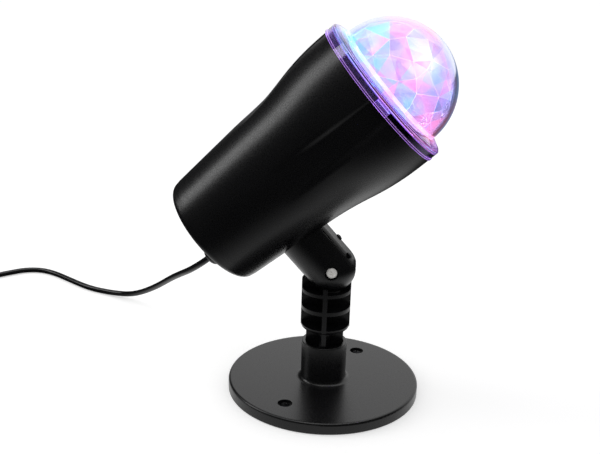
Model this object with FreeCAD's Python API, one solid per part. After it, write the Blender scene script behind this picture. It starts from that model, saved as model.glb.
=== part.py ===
"""Disco spotlight: a tilting lamp head with a faceted light dome on a ribbed post and a round base.

Frame: millimetres, +Z up, origin at the middle of the base's underside, the head points to +X.
Head frame: origin on the lamp's axis level with the pivot, +z along the light, +x down to the pivot.
"""
import FreeCAD
import Part
from FreeCAD import Placement, Rotation, Vector

import math
import os

# Clearances between neighbours
SEAT_GAP = 0.15
RUNNING_GAP = 0.4
HOLE_GAP = 0.2
FIT_GAP = 0.05
PIVOT_FIT = 0.08

# Length that reaches past the whole lamp, for cutting tools, and nearness that counts as touching
FAR = 200.0
TOUCH = 0.01

# Base
BASE_RADIUS = 65.0
BASE_TOP = 8.0
BASE_SKIRT_BOTTOM = 0.5
BASE_WALL = 2.6
BASE_EDGE_ROUND = 1.7
SOCKET_RADIUS = 15.4
SOCKET_WALL = 2.4
SOCKET_TOP = 35.2
SOCKET_FOOT_FILLET = 3.0
SOCKET_LIP_ROUND = 0.7
PAD_THICKNESS = 1.6
PAD_CHAMFER = 0.6
WEIGHT_THICKNESS = 2.6
BASE_SCREW_CIRCLE = 47.4
BASE_SCREW_ANGLE = 61.7
BASE_SCREW_HEAD_RADIUS = 3.0
BASE_SCREW_HEAD_HEIGHT = 1.9
BASE_SCREW_SHANK_RADIUS = 1.75
BASE_COUNTERBORE_RADIUS = 4.8
BASE_COUNTERBORE_DEPTH = 2.3
BASE_SCREW_TIP_GAP = 0.3
KEY_WIDTH = 2.6
KEY_REACH = 1.6
KEY_TURN = 45.0

# Ribbed post
POST_RADIUS = 16.5
POST_WEB = 3.0
POST_SHOULDER_Z = 45.4
POST_SHOULDER_THICKNESS = 3.4
POST_SHOULDER_ROUND = 3.0
POST_RINGS = ((59.4, 2.7), (72.0, 2.4))
POST_NECK_RADIUS = 12.6
POST_KEY_RING_Z = 30.0
POST_KEY_RING_THICKNESS = 2.4
POST_HORN_TOP = 78.4
POST_WEB_TOP = 80.0
POST_CORE_RADIUS = 4.0
POST_SCREW_LENGTH = 22.0
POST_SCREW_HEAD_RADIUS = 3.9
POST_SCREW_HEAD_HEIGHT = 1.4
POST_SCREW_SEAT_DEPTH = 1.6
TONGUE_RADIUS = 13.0
TONGUE_BOSS_RADIUS = 7.5
TONGUE_BOSS_THICKNESS = 6.0

# Pivot
PIVOT_X = 3.5
PIVOT_Z = 90.0
PIVOT_SCREW_RADIUS = 2.0
PIVOT_HEAD_RADIUS = 3.4
PIVOT_HEAD_HEIGHT = 2.4
PIVOT_COUNTERBORE_RADIUS = 4.6
PIVOT_COUNTERBORE_FLOOR = 14.3
NUT_FLATS = 7.0
NUT_HEIGHT = 3.0
NUT_TRAP_FLOOR = 12.4
WASHER_THICKNESS = 0.7
WASHER_RADIUS = 6.0

# Arm between the pivot and the housing, in the head frame
HEAD_TILT = 42.4
HEAD_TILT_UP = 30.0
AXIS_OFFSET = 68.5
ARM_RADIUS = 17.0
ARM_SHIFT = -1.6
ARM_FRONT = 14.3
ARM_COVER_THICKNESS = 1.5
ARM_COVER_END = 7.0
ARM_SLOT_SWEEP = 24.8
ARM_TOP_X = 20.0
ARM_POCKET_HALF_WIDTH = 9.5
ARM_POCKET_DEPTH = 9.5
ARM_POCKET_LENGTH = 9.0
ARM_POCKET_START = 43.5
ARM_COVER_SCREWS = ((57.6, 5.9), (68.5, -5.9))
SMALL_SCREW_HEAD_RADIUS = 2.2
SMALL_SCREW_HEAD_HEIGHT = 1.2
SMALL_SCREW_SHANK_RADIUS = 1.1
PAN_BULGE_SHARE = 0.55
RECESS_WIDTH_SHARE = 0.24
RECESS_REACH_SHARE = 0.55
RECESS_DEPTH_SHARE = 0.65
COVER_SCREW_LENGTH = 7.0
ARM_MOUNT_SPREAD = 9.0
ARM_MOUNT_Z = -3.0
ARM_MOUNT_REACH = 10.0

# Housing, in the head frame
HOUSING_WALL = 2.3
HOUSING_REAR_Z = -57.0
HOUSING_REAR_RADIUS = 37.2
HOUSING_REAR_CROWN = 1.4
HOUSING_REAR_ROUND = 7.5
WAIST_Z = 18.0
WAIST_RADIUS = 40.2
FLARE_ANGLE = 12.9
WAIST_ARC = 165.0
SHOULDER_ARC = 71.0
RIM_Z = 94.7
RIM_RADIUS = 51.1
SPIGOT_RADIUS = 48.6
SPIGOT_WALL = 1.7
SPIGOT_HEIGHT = 4.4
FLUTE_COUNT = 4
FLUTE_DEPTH = 1.7
FLUTE_RIM_WIDTH = 15.4
FLUTE_TAIL_WIDTH = 23.0
FLUTE_TAIL_Z = 8.0
FLUTE_TAIL_LIFT = 0.15
FLUTE_RAMP_SHARE = 0.62
FLUTE_STATIONS = 6
TAB_WIDTH_ANGLE = 12.0
TAB_WINDOW_ROOM = 1.0
BOSS_WEB = 3.0
BOSS_FLOOR = 2.0
PILLAR_BORE = 10.0
SINK_BOSS_RADIUS = 4.0
SINK_BOSS_CIRCLE = 40.5
SINK_BOSS_LENGTH = 12.0
SINK_BOSS_ANGLES = (45.0, 165.0, 285.0)
PILLAR_ANGLES = (90.0, 210.0, 330.0)
PILLAR_CIRCLE = 26.0
PILLAR_RADIUS = 3.4

# Clear cover
COVER_WALL = 2.0
FLANGE_HEIGHT = 1.3
FLANGE_OVERHANG = 0.5
SKIRT_TOP = 101.4
DOME_CENTRE_Z = 103.8
DOME_RADIUS = 42.2
LIP_TOP_Z = 104.2
LIP_INNER_RADIUS = 44.0
COLLAR_WALL = 1.6
COLLAR_BOTTOM = 91.5
GASKET_HEIGHT = 1.0
LEDGE_THICKNESS = 2.0
LEDGE_WIDTH = 3.0
NECK_DEPTH = 4.0
SKIRT_BEVEL_WIDTH = 1.2
SKIRT_BEVEL_HEIGHT = 1.0

# Turning lens
LENS_FACET_DISTANCE = 37.3
LENS_FACET_JITTER = 0.35
LENS_BLANK_SCALE = 1.06
LENS_SWAY_STEP = 2.7
LENS_POLAR_SWAY = 2.2
LENS_ROUND_SWAY = 4.0
LENS_INNER_SCALE = 0.935
LENS_INNER_TURN = 21.0
LENS_FACET_RINGS = ((0.0, 1), (23.0, 6), (44.0, 11), (65.0, 14), (86.0, 16))
LENS_BOTTOM = 97.0
SPIDER_THICKNESS = 2.4
SPIDER_SPOKES = 3
SPIDER_SPOKE_WIDTH = 3.6
SPIDER_HUB_RADIUS = 4.5
SPIDER_HUB_LENGTH = 7.0
SPIDER_RIM_WIDTH = 4.6
SPIDER_INSET = 0.8
HUB_ROOF = 1.5
SHAFT_SEAT = 4.0
SHAFT_RADIUS = 2.0

# Light engine
SINK_FRONT_Z = 73.0
SINK_RADIUS = 36.0
SINK_BASE_THICKNESS = 3.0
SINK_FIN_LENGTH = 13.0
SINK_FIN_THICKNESS = 1.6
SINK_FIN_COUNT = 9
SINK_FIN_PITCH = 7.0
SINK_SCREW_BITE = 8.0
LED_BOARD_RADIUS = 34.0
LED_BOARD_THICKNESS = 1.6
LED_CIRCLE = 17.0
LED_COUNT = 4
LED_SIZE = 5.0
LED_HEIGHT = 1.4
LED_WINDOW_RADIUS = 1.3
OPTIC_RADIUS = 10.0
OPTIC_FOOT_RADIUS = 5.6
OPTIC_HEIGHT = 11.0
OPTIC_RIM = 1.0
MOTOR_RADIUS = 12.0
MOTOR_LENGTH = 19.0
MOTOR_EAR_CIRCLE = 17.0
MOTOR_EAR_RADIUS = 3.6
MOTOR_EAR_THICKNESS = 1.2
MOTOR_REAR_ROUND = 1.5
MOTOR_ROOM = 1.5
MOTOR_SCREW_BITE = 2.0
SHAFT_ROOM = 1.5
DRIVER_Z = -32.0
DRIVER_RADIUS = 31.0
DRIVER_THICKNESS = 1.6
DRIVER_SCREW_LENGTH = 8.0
CORE_LENGTH = 22.0
CORE_WIDTH = 22.0
CORE_HEIGHT = 18.0
CORE_X = -5.0
WINDING_LENGTH = 16.0
WINDING_WIDTH = 28.0
WINDING_LIFT = 4.0
CAPACITOR_RADIUS = 4.5
CAPACITOR_HEIGHT = 14.0
CAPACITOR_X = 14.0
CAPACITOR_Y = 6.0
TERMINAL_X = -22.0
TERMINAL_LENGTH = 8.0
TERMINAL_WIDTH = 12.0
TERMINAL_HEIGHT = 9.0

# Gland and cord
GLAND_X = 12.5
GLAND_RADIUS = 7.2
GLAND_TIP_Z = -64.6
GLAND_STEM_RADIUS = 5.4
GLAND_NUT_FLATS = 15.0
GLAND_NUT_THICKNESS = 4.0
GLAND_FLARE = 1.5
GLAND_NOSE_ROUND = 3.3
GLAND_STEM_TOP_Z = -45.0
JACKET_END_Z = -40.0
WIRE_RADIUS = 0.7
WIRE_SPREAD = 1.0

# Cord outside the lamp, lying behind and beside it on the table
CORD_RADIUS = 2.2
CORD_START_Z = -49.0
CORD_BEND_Z = -64.2
CORD_FLOOR_Z = CORD_RADIUS + 0.05
CORD_ARC_SHARE = 0.45
CORD_POINTS = (
    (-94.3, 11.2, 76.3),
    (-103.6, 25.5, 67.5),
    (-114.5, 43.0, 56.6),
    (-131.7, 72.0, 37.4),
    (-151.0, 103.0, 18.4),
    (-168.5, 126.0, 5.4),
    (-187.0, 135.0, CORD_FLOOR_Z),
    (-207.5, 142.0, CORD_FLOOR_Z),
    (-229.0, 157.5, CORD_FLOOR_Z),
    (-247.5, 171.0, CORD_FLOOR_Z),
    (-262.0, 176.5, CORD_FLOOR_Z),
    (-275.5, 174.3, CORD_FLOOR_Z),
    (-286.0, 166.0, CORD_FLOOR_Z),
    (-300.5, 153.2, CORD_FLOOR_Z),
)
CORD_SPLIT = 7
COIL_X = -344.0
COIL_Y = 164.5
COIL_INNER_RADIUS = 16.5
COIL_PITCH = 4.87
COIL_TURNS = 8
COIL_ENTRY_ANGLE = -50.0
COIL_EXIT_ANGLE = -8.0
COIL_QUARTERS = 32
COIL_LEAD = 13.0
# Plug
PLUG_THICKNESS = 13.7
PLUG_FRONT_WIDTH = 26.0
PLUG_REAR_WIDTH = 13.0
PLUG_REAR_THICKNESS = 9.0
PLUG_BODY_LENGTH = 33.0
PLUG_SHOULDER = 12.0
PLUG_CORNER = 3.4
RELIEF_LENGTH = 20.0
RELIEF_TIP_RADIUS = 2.9
RELIEF_ROOT_RADIUS = 4.0
RELIEF_GROOVES = 4
RELIEF_GROOVE_WIDTH = 1.6
RELIEF_GROOVE_DEPTH = 0.7
PIN_RADIUS = 2.0
PIN_LENGTH = 19.0
PIN_ROOT = 6.0
PIN_SPACING = 18.6

# Cord from the coil to the plug
TAIL_POINTS = (
    (-313.1, 127.3, 7.02),
    (-316.4, 113.6, 3.50),
    (-320.3, 101.0, CORD_FLOOR_Z),
    (-324.8, 88.5, 2.80),
    (-329.4, 77.0, PLUG_THICKNESS / 2 + FIT_GAP),
    (-332.6, 69.3, PLUG_THICKNESS / 2 + FIT_GAP),
)

HEAD_PLACEMENT = Placement(
    Vector(PIVOT_X, 0, PIVOT_Z), Rotation(Vector(0, 1, 0), 90.0 - HEAD_TILT)
).multiply(Placement(Vector(-AXIS_OFFSET, 0, 0), Rotation()))


def to_head(shape):
    """Move a shape built in the head frame to its place on the tilted head."""
    placed = shape.copy()
    placed.Placement = HEAD_PLACEMENT.multiply(placed.Placement)
    return placed


def head_point(x, y, z):
    """World place of a point of the head frame."""
    return HEAD_PLACEMENT.multVec(Vector(x, y, z))


def cylinder(radius, length, base=(0, 0, 0), axis=(0, 0, 1)):
    return Part.makeCylinder(radius, length, Vector(*base), Vector(*axis))


def block(low, high):
    """Box between two opposite corners."""
    size = [b - a for a, b in zip(low, high)]
    return Part.makeBox(size[0], size[1], size[2], Vector(*low))


def turned(shape, angle, axis=(0, 0, 1), centre=(0, 0, 0)):
    copy = shape.copy()
    copy.rotate(Vector(*centre), Vector(*axis), angle)
    return copy


def ring_of(shape, count, first_angle=0.0):
    """Copies of a shape spaced evenly about the z axis."""
    return [turned(shape, first_angle + 360.0 * i / count) for i in range(count)]


def tube(outer, inner, length, base=(0, 0, 0), axis=(0, 0, 1)):
    return cylinder(outer, length, base, axis).cut(cylinder(inner, length, base, axis))


def line(a, b):
    return Part.makeLine(Vector(*a), Vector(*b))


def arc(a, middle, b):
    return Part.Arc(Vector(*a), Vector(*middle), Vector(*b)).toShape()


def revolved(edges):
    """Solid turned about z from a closed outline in the xz plane."""
    face = Part.Face(Part.Wire(Part.__sortEdges__(edges)))
    return face.revolve(Vector(0, 0, 0), Vector(0, 0, 1), 360.0)


def edges_at(shape, z, radius=None):
    """Edges that lie flat at a height, and reach a radius if one is given."""
    flat = [e for e in shape.Edges if abs(e.BoundBox.ZMin - z) < TOUCH and abs(e.BoundBox.ZMax - z) < TOUCH]
    return [e for e in flat if radius is None or abs(e.BoundBox.XMax - radius) < TOUCH]


def hexagon(flats, height, base=(0, 0, 0)):
    corner = flats / math.sqrt(3.0)
    points = [Vector(corner * math.cos(math.radians(60 * i)), corner * math.sin(math.radians(60 * i)), 0)
              for i in range(7)]
    solid = Part.Face(Part.makePolygon(points)).extrude(Vector(0, 0, height))
    solid.translate(Vector(*base))
    return solid


def pan_screw(head_radius, head_height, shank_radius, shank_length):
    """Pan-head screw with a cross recess, head upwards, seat at z = 0."""
    bulge = head_height * PAN_BULGE_SHARE
    crown = (head_radius ** 2 + bulge ** 2) / (2 * bulge)
    middle = head_radius / 2
    middle_z = head_height - crown + math.sqrt(crown ** 2 - middle ** 2)
    head = revolved([
        line((0, 0, 0), (head_radius, 0, 0)),
        line((head_radius, 0, 0), (head_radius, 0, head_height - bulge)),
        arc((head_radius, 0, head_height - bulge), (middle, 0, middle_z), (0, 0, head_height)),
        line((0, 0, head_height), (0, 0, 0)),
    ])
    half_width = head_radius * RECESS_WIDTH_SHARE / 2
    reach = head_radius * RECESS_REACH_SHARE
    floor = head_height * (1 - RECESS_DEPTH_SHARE)
    recess = block((-reach, -half_width, floor), (reach, half_width, head_height))
    shank = cylinder(shank_radius, shank_length, (0, 0, -shank_length))
    return head.fuse(shank).cut(recess.fuse(turned(recess, 90)))


def aimed(shape, position, direction):
    """Turn a shape's +z to a direction and move it to a position."""
    placed = shape.copy()
    placed.Placement = Placement(Vector(*position), Rotation(Vector(0, 0, 1), Vector(*direction)))
    return placed


# Base pieces

def base_screw_places():
    angle = math.radians(BASE_SCREW_ANGLE)
    x = BASE_SCREW_CIRCLE * math.cos(angle)
    y = BASE_SCREW_CIRCLE * math.sin(angle)
    return [(-x, -y), (x, y)]


WEIGHT_TOP = PAD_THICKNESS + WEIGHT_THICKNESS
PLUG_BOTTOM = WEIGHT_TOP + FIT_GAP
SOCKET_BORE = SOCKET_RADIUS - SOCKET_WALL
PLUG_RADIUS = SOCKET_BORE - HOLE_GAP
BASE_SCREW_SEAT = BASE_TOP - BASE_COUNTERBORE_DEPTH


def base_cover():
    """Round moulded base with the raised socket for the post."""
    disc = cylinder(BASE_RADIUS, BASE_TOP - BASE_SKIRT_BOTTOM, (0, 0, BASE_SKIRT_BOTTOM))
    disc = disc.makeFillet(BASE_EDGE_ROUND, edges_at(disc, BASE_TOP))
    collar = cylinder(SOCKET_RADIUS, SOCKET_TOP - BASE_SKIRT_BOTTOM, (0, 0, BASE_SKIRT_BOTTOM))
    body = disc.fuse(collar).removeSplitter()
    body = body.makeFillet(SOCKET_FOOT_FILLET, edges_at(body, BASE_TOP, SOCKET_RADIUS))
    body = body.makeFillet(SOCKET_LIP_ROUND, edges_at(body, SOCKET_TOP, SOCKET_RADIUS))
    body = body.cut(cylinder(BASE_RADIUS - BASE_WALL, WEIGHT_TOP)).cut(cylinder(SOCKET_BORE, SOCKET_TOP))
    for x, y in base_screw_places():
        body = body.cut(cylinder(BASE_COUNTERBORE_RADIUS, BASE_TOP, (x, y, BASE_SCREW_SEAT)))
        body = body.cut(cylinder(BASE_SCREW_SHANK_RADIUS + HOLE_GAP, BASE_TOP, (x, y, 0)))
    key = block((SOCKET_BORE - KEY_REACH, -KEY_WIDTH / 2, WEIGHT_TOP),
                (SOCKET_BORE + SOCKET_WALL / 2, KEY_WIDTH / 2, WEIGHT_TOP + POST_KEY_RING_THICKNESS))
    return body.fuse(turned(key, KEY_TURN)).removeSplitter()


def base_weight():
    """Steel plate that keeps the lamp upright; the base screws thread into it."""
    plate = cylinder(BASE_RADIUS - BASE_WALL - HOLE_GAP, WEIGHT_THICKNESS, (0, 0, PAD_THICKNESS))
    plate = plate.cut(cylinder(BASE_SCREW_SHANK_RADIUS + HOLE_GAP, BASE_TOP))
    plate = plate.cut(cylinder(POST_SCREW_HEAD_RADIUS + RUNNING_GAP, PAD_THICKNESS + POST_SCREW_SEAT_DEPTH))
    for x, y in base_screw_places():
        plate = plate.cut(cylinder(BASE_SCREW_SHANK_RADIUS, BASE_TOP, (x, y, 0)))
    return plate


def base_pad():
    """Soft round pad under the weight."""
    pad = cylinder(BASE_RADIUS - BASE_WALL - HOLE_GAP, PAD_THICKNESS)
    return pad.makeChamfer(PAD_CHAMFER, edges_at(pad, 0))


def base_screws():
    screw = pan_screw(BASE_SCREW_HEAD_RADIUS, BASE_SCREW_HEAD_HEIGHT, BASE_SCREW_SHANK_RADIUS,
                      BASE_SCREW_SEAT - PAD_THICKNESS - BASE_SCREW_TIP_GAP)
    places = [(x, y, BASE_SCREW_SEAT) for x, y in base_screw_places()]
    return Part.makeCompound([aimed(screw, place, (0, 0, 1)) for place in places])


# Post pieces

def pivot_clearance():
    """Room that the turning end of the arm sweeps, seen from the post."""
    radius = ARM_RADIUS + abs(ARM_SHIFT) + RUNNING_GAP
    ball = Part.makeSphere(radius, Vector(PIVOT_X, 0, PIVOT_Z))
    steepest = math.radians(HEAD_TILT + HEAD_TILT_UP)
    barrel = cylinder(radius, FAR, (PIVOT_X, 0, PIVOT_Z), (-math.sin(steepest), 0, math.cos(steepest)))
    return ball.fuse(barrel)


def ribbed_post():
    """Post of crossed webs and round ribs, with its plug below and its tongue above."""
    half = POST_WEB / 2
    neck_top = POST_SHOULDER_Z + POST_SHOULDER_THICKNESS / 2
    shoulder = cylinder(POST_RADIUS, POST_SHOULDER_THICKNESS, (0, 0, POST_SHOULDER_Z))
    shoulder = shoulder.makeFillet(POST_SHOULDER_ROUND, edges_at(shoulder, POST_SHOULDER_Z))
    rings = [cylinder(POST_RADIUS, height, (0, 0, z)) for z, height in POST_RINGS]
    side_web = block((-half, -POST_RADIUS, neck_top), (half, POST_RADIUS, POST_HORN_TOP))
    upper = shoulder.multiFuse(rings + [side_web]).cut(pivot_clearance())

    neck_webs = [
        block((-POST_NECK_RADIUS, -half, PLUG_BOTTOM), (POST_NECK_RADIUS, half, neck_top)),
        block((-half, -POST_NECK_RADIUS, PLUG_BOTTOM), (half, POST_NECK_RADIUS, neck_top)),
        cylinder(POST_CORE_RADIUS, neck_top - PLUG_BOTTOM, (0, 0, PLUG_BOTTOM)),
    ]
    plug_rings = [
        cylinder(PLUG_RADIUS, POST_KEY_RING_THICKNESS, (0, 0, PLUG_BOTTOM)),
        cylinder(PLUG_RADIUS, POST_KEY_RING_THICKNESS, (0, 0, POST_KEY_RING_Z)),
    ]
    top = Vector(PIVOT_X, 0, PIVOT_Z)
    web = block((-POST_RADIUS, -half, neck_top), (POST_RADIUS, half, POST_WEB_TOP))
    cheek = Part.Face(Part.makePolygon([
        Vector(-POST_RADIUS, -half, POST_WEB_TOP),
        Vector(POST_RADIUS, -half, POST_WEB_TOP),
        Vector(PIVOT_X + TONGUE_RADIUS, -half, PIVOT_Z),
        Vector(PIVOT_X - TONGUE_RADIUS, -half, PIVOT_Z),
        Vector(-POST_RADIUS, -half, POST_WEB_TOP),
    ])).extrude(Vector(0, POST_WEB, 0))
    disc = cylinder(TONGUE_RADIUS, POST_WEB, (top.x, -half, top.z), (0, 1, 0))
    boss = cylinder(TONGUE_BOSS_RADIUS, TONGUE_BOSS_THICKNESS, (top.x, -TONGUE_BOSS_THICKNESS / 2, top.z),
                    (0, 1, 0))
    body = upper.multiFuse(neck_webs + plug_rings + [web, cheek, disc, boss])
    bolt_way = cylinder(PIVOT_SCREW_RADIUS + PIVOT_FIT, FAR, (top.x, -FAR / 2, top.z), (0, 1, 0))
    screw_way = cylinder(BASE_SCREW_SHANK_RADIUS, POST_SCREW_LENGTH, (0, 0, PLUG_BOTTOM))
    key_half = KEY_WIDTH / 2 + HOLE_GAP
    keyway = block((SOCKET_BORE - KEY_REACH - HOLE_GAP, -key_half, 0),
                   (SOCKET_BORE, key_half, PLUG_BOTTOM + POST_KEY_RING_THICKNESS))
    return body.cut(bolt_way).cut(screw_way).cut(turned(keyway, KEY_TURN)).removeSplitter()


def post_screw():
    """Screw from below the weight that pulls the plug down into the socket."""
    screw = pan_screw(POST_SCREW_HEAD_RADIUS, POST_SCREW_HEAD_HEIGHT, BASE_SCREW_SHANK_RADIUS - FIT_GAP,
                      POST_SCREW_LENGTH - HOLE_GAP)
    return aimed(screw, (0, 0, PAD_THICKNESS + POST_SCREW_SEAT_DEPTH), (0, 0, -1))


# Pivot pieces

def pivot_screw():
    nut_face = NUT_TRAP_FLOOR + NUT_HEIGHT
    screw = pan_screw(PIVOT_HEAD_RADIUS, PIVOT_HEAD_HEIGHT, PIVOT_SCREW_RADIUS,
                      PIVOT_COUNTERBORE_FLOOR + nut_face)
    return aimed(screw, (PIVOT_X, -PIVOT_COUNTERBORE_FLOOR, PIVOT_Z), (0, -1, 0))


def pivot_nut():
    nut = hexagon(NUT_FLATS, NUT_HEIGHT).cut(cylinder(PIVOT_SCREW_RADIUS + FIT_GAP, NUT_HEIGHT))
    return to_head(aimed(nut, (AXIS_OFFSET, NUT_TRAP_FLOOR, 0), (0, 1, 0)))


SLOT_HALF = TONGUE_BOSS_THICKNESS / 2 + WASHER_THICKNESS + 2 * FIT_GAP


def pivot_washers():
    """Two friction washers, one each side of the tongue."""
    washer = tube(WASHER_RADIUS, PIVOT_SCREW_RADIUS + HOLE_GAP, WASHER_THICKNESS)
    inner = TONGUE_BOSS_THICKNESS / 2 + FIT_GAP
    return Part.makeCompound([
        aimed(washer, (PIVOT_X, inner, PIVOT_Z), (0, 1, 0)),
        aimed(washer, (PIVOT_X, -inner, PIVOT_Z), (0, -1, 0)),
    ])


# Housing outline

def flank():
    """Corner points (radius, z) and arc middles of the housing's side, rear to rim."""
    cone = math.atan2(WAIST_RADIUS - HOUSING_REAR_RADIUS, WAIST_Z - HOUSING_REAR_Z)
    flare = math.radians(FLARE_ANGLE)

    def waist(angle):
        return (WAIST_RADIUS + WAIST_ARC * (math.cos(cone) - math.cos(angle)),
                WAIST_Z + WAIST_ARC * (math.sin(angle) - math.sin(cone)))

    waist_end = waist(flare)
    shoulder_start_radius = RIM_RADIUS - SHOULDER_ARC * (1 - math.cos(flare))
    shoulder_start = (shoulder_start_radius,
                      waist_end[1] + (shoulder_start_radius - waist_end[0]) / math.tan(flare))

    def shoulder(angle):
        return (RIM_RADIUS - SHOULDER_ARC * (1 - math.cos(angle)),
                shoulder_start[1] + SHOULDER_ARC * (math.sin(flare) - math.sin(angle)))

    return {
        "waist_start": (WAIST_RADIUS, WAIST_Z),
        "waist_middle": waist((cone + flare) / 2),
        "waist_end": waist_end,
        "shoulder_start": shoulder_start,
        "shoulder_middle": shoulder(flare / 2),
        "shoulder_end": shoulder(0.0),
    }


REAR_FLAT_RADIUS = HOUSING_REAR_RADIUS - HOUSING_REAR_ROUND


def rear_face_z(radius, inset=0.0):
    """Height of the gently domed rear face at a radius."""
    ball = (REAR_FLAT_RADIUS ** 2 + HOUSING_REAR_CROWN ** 2) / (2 * HOUSING_REAR_CROWN)
    drop = math.sqrt(ball ** 2 - radius ** 2) - math.sqrt(ball ** 2 - REAR_FLAT_RADIUS ** 2)
    return HOUSING_REAR_Z + inset - drop


def housing_solid(inset=0.0, front=RIM_Z):
    """Solid of the housing's outer form, drawn in by a wall thickness."""
    path = {name: (r - inset, 0, z) for name, (r, z) in flank().items()}
    rear_z = HOUSING_REAR_Z + inset
    rear_radius = HOUSING_REAR_RADIUS - inset
    corner = HOUSING_REAR_ROUND - inset
    bend = corner * (1 - math.sqrt(0.5))
    rim_radius = RIM_RADIUS - inset
    crown_z = rear_face_z(0, inset)
    return revolved([
        arc((0, 0, crown_z), (REAR_FLAT_RADIUS / 2, 0, rear_face_z(REAR_FLAT_RADIUS / 2, inset)),
            (rear_radius - corner, 0, rear_z)),
        arc((rear_radius - corner, 0, rear_z), (rear_radius - bend, 0, rear_z + bend),
            (rear_radius, 0, rear_z + corner)),
        line((rear_radius, 0, rear_z + corner), path["waist_start"]),
        arc(path["waist_start"], path["waist_middle"], path["waist_end"]),
        line(path["waist_end"], path["shoulder_start"]),
        arc(path["shoulder_start"], path["shoulder_middle"], path["shoulder_end"]),
        line(path["shoulder_end"], (rim_radius, 0, front)),
        line((rim_radius, 0, front), (0, 0, front)),
        line((0, 0, front), (0, 0, crown_z)),
    ])


def side_radius(z):
    """Outer radius of the housing at a height between the waist and the rim."""
    path = flank()
    cone = math.atan2(WAIST_RADIUS - HOUSING_REAR_RADIUS, WAIST_Z - HOUSING_REAR_Z)
    if z <= WAIST_Z:
        return WAIST_RADIUS + (z - WAIST_Z) * math.tan(cone)
    if z <= path["waist_end"][1]:
        angle = math.asin((z - WAIST_Z) / WAIST_ARC + math.sin(cone))
        return WAIST_RADIUS + WAIST_ARC * (math.cos(cone) - math.cos(angle))
    if z <= path["shoulder_start"][1]:
        return path["waist_end"][0] + (z - path["waist_end"][1]) * math.tan(math.radians(FLARE_ANGLE))
    if z <= path["shoulder_end"][1]:
        rise = (z - path["shoulder_start"][1]) / SHOULDER_ARC
        angle = math.asin(math.sin(math.radians(FLARE_ANGLE)) - rise)
        return RIM_RADIUS - SHOULDER_ARC * (1 - math.cos(angle))
    return RIM_RADIUS


def flute_tool(inset=0.0):
    """Cutter for one flute on the +x side: a flat floor that rises to the surface at the waist."""
    far = 2 * RIM_RADIUS
    top = RIM_Z + 2 * SPIGOT_HEIGHT
    floor = []
    for i in range(FLUTE_STATIONS + 1):
        share = i / FLUTE_STATIONS
        z = FLUTE_TAIL_Z + (RIM_Z - FLUTE_TAIL_Z) * share
        ramp = math.sin(math.pi / 2 * min(1.0, share / FLUTE_RAMP_SHARE))
        depth = FLUTE_DEPTH * ramp - FLUTE_TAIL_LIFT * (1 - share)
        floor.append(Vector(side_radius(z) - depth - inset, 0, z))
    curve = Part.BSplineCurve()
    curve.interpolate(floor)
    side = Part.Face(Part.Wire([
        curve.toShape(),
        line(tuple(floor[-1]), (floor[-1].x, 0, top)),
        line((floor[-1].x, 0, top), (far, 0, top)),
        line((far, 0, top), (far, 0, floor[0].z)),
        line((far, 0, floor[0].z), tuple(floor[0])),
    ])).extrude(Vector(0, 2 * FLUTE_TAIL_WIDTH, 0))
    side.translate(Vector(0, -FLUTE_TAIL_WIDTH, 0))
    rim_half = FLUTE_RIM_WIDTH / 2 - inset / 2
    tail_half = FLUTE_TAIL_WIDTH / 2 - inset / 2
    growth = (tail_half - rim_half) / (RIM_Z - FLUTE_TAIL_Z)
    plan = Part.Face(Part.makePolygon([
        Vector(0, -tail_half, FLUTE_TAIL_Z),
        Vector(0, tail_half, FLUTE_TAIL_Z),
        Vector(0, rim_half - growth * (top - RIM_Z), top),
        Vector(0, -rim_half + growth * (top - RIM_Z), top),
        Vector(0, -tail_half, FLUTE_TAIL_Z),
    ])).extrude(Vector(far, 0, 0))
    return side.common(plan)


def sector(inner, outer, z_low, z_high, width_angle):
    """Ring piece about the +x direction."""
    ring = tube(outer, inner, z_high - z_low, (0, 0, z_low))
    half = math.radians(width_angle / 2)
    reach = outer * 2
    wedge = Part.Face(Part.makePolygon([
        Vector(0, 0, z_low),
        Vector(reach * math.cos(half), -reach * math.sin(half), z_low),
        Vector(reach * math.cos(half), reach * math.sin(half), z_low),
        Vector(0, 0, z_low),
    ])).extrude(Vector(0, 0, z_high - z_low))
    return ring.common(wedge)


SINK_BACK_Z = SINK_FRONT_Z - SINK_BASE_THICKNESS
NECK_RADIUS = SPIGOT_RADIUS - SPIGOT_WALL


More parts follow.
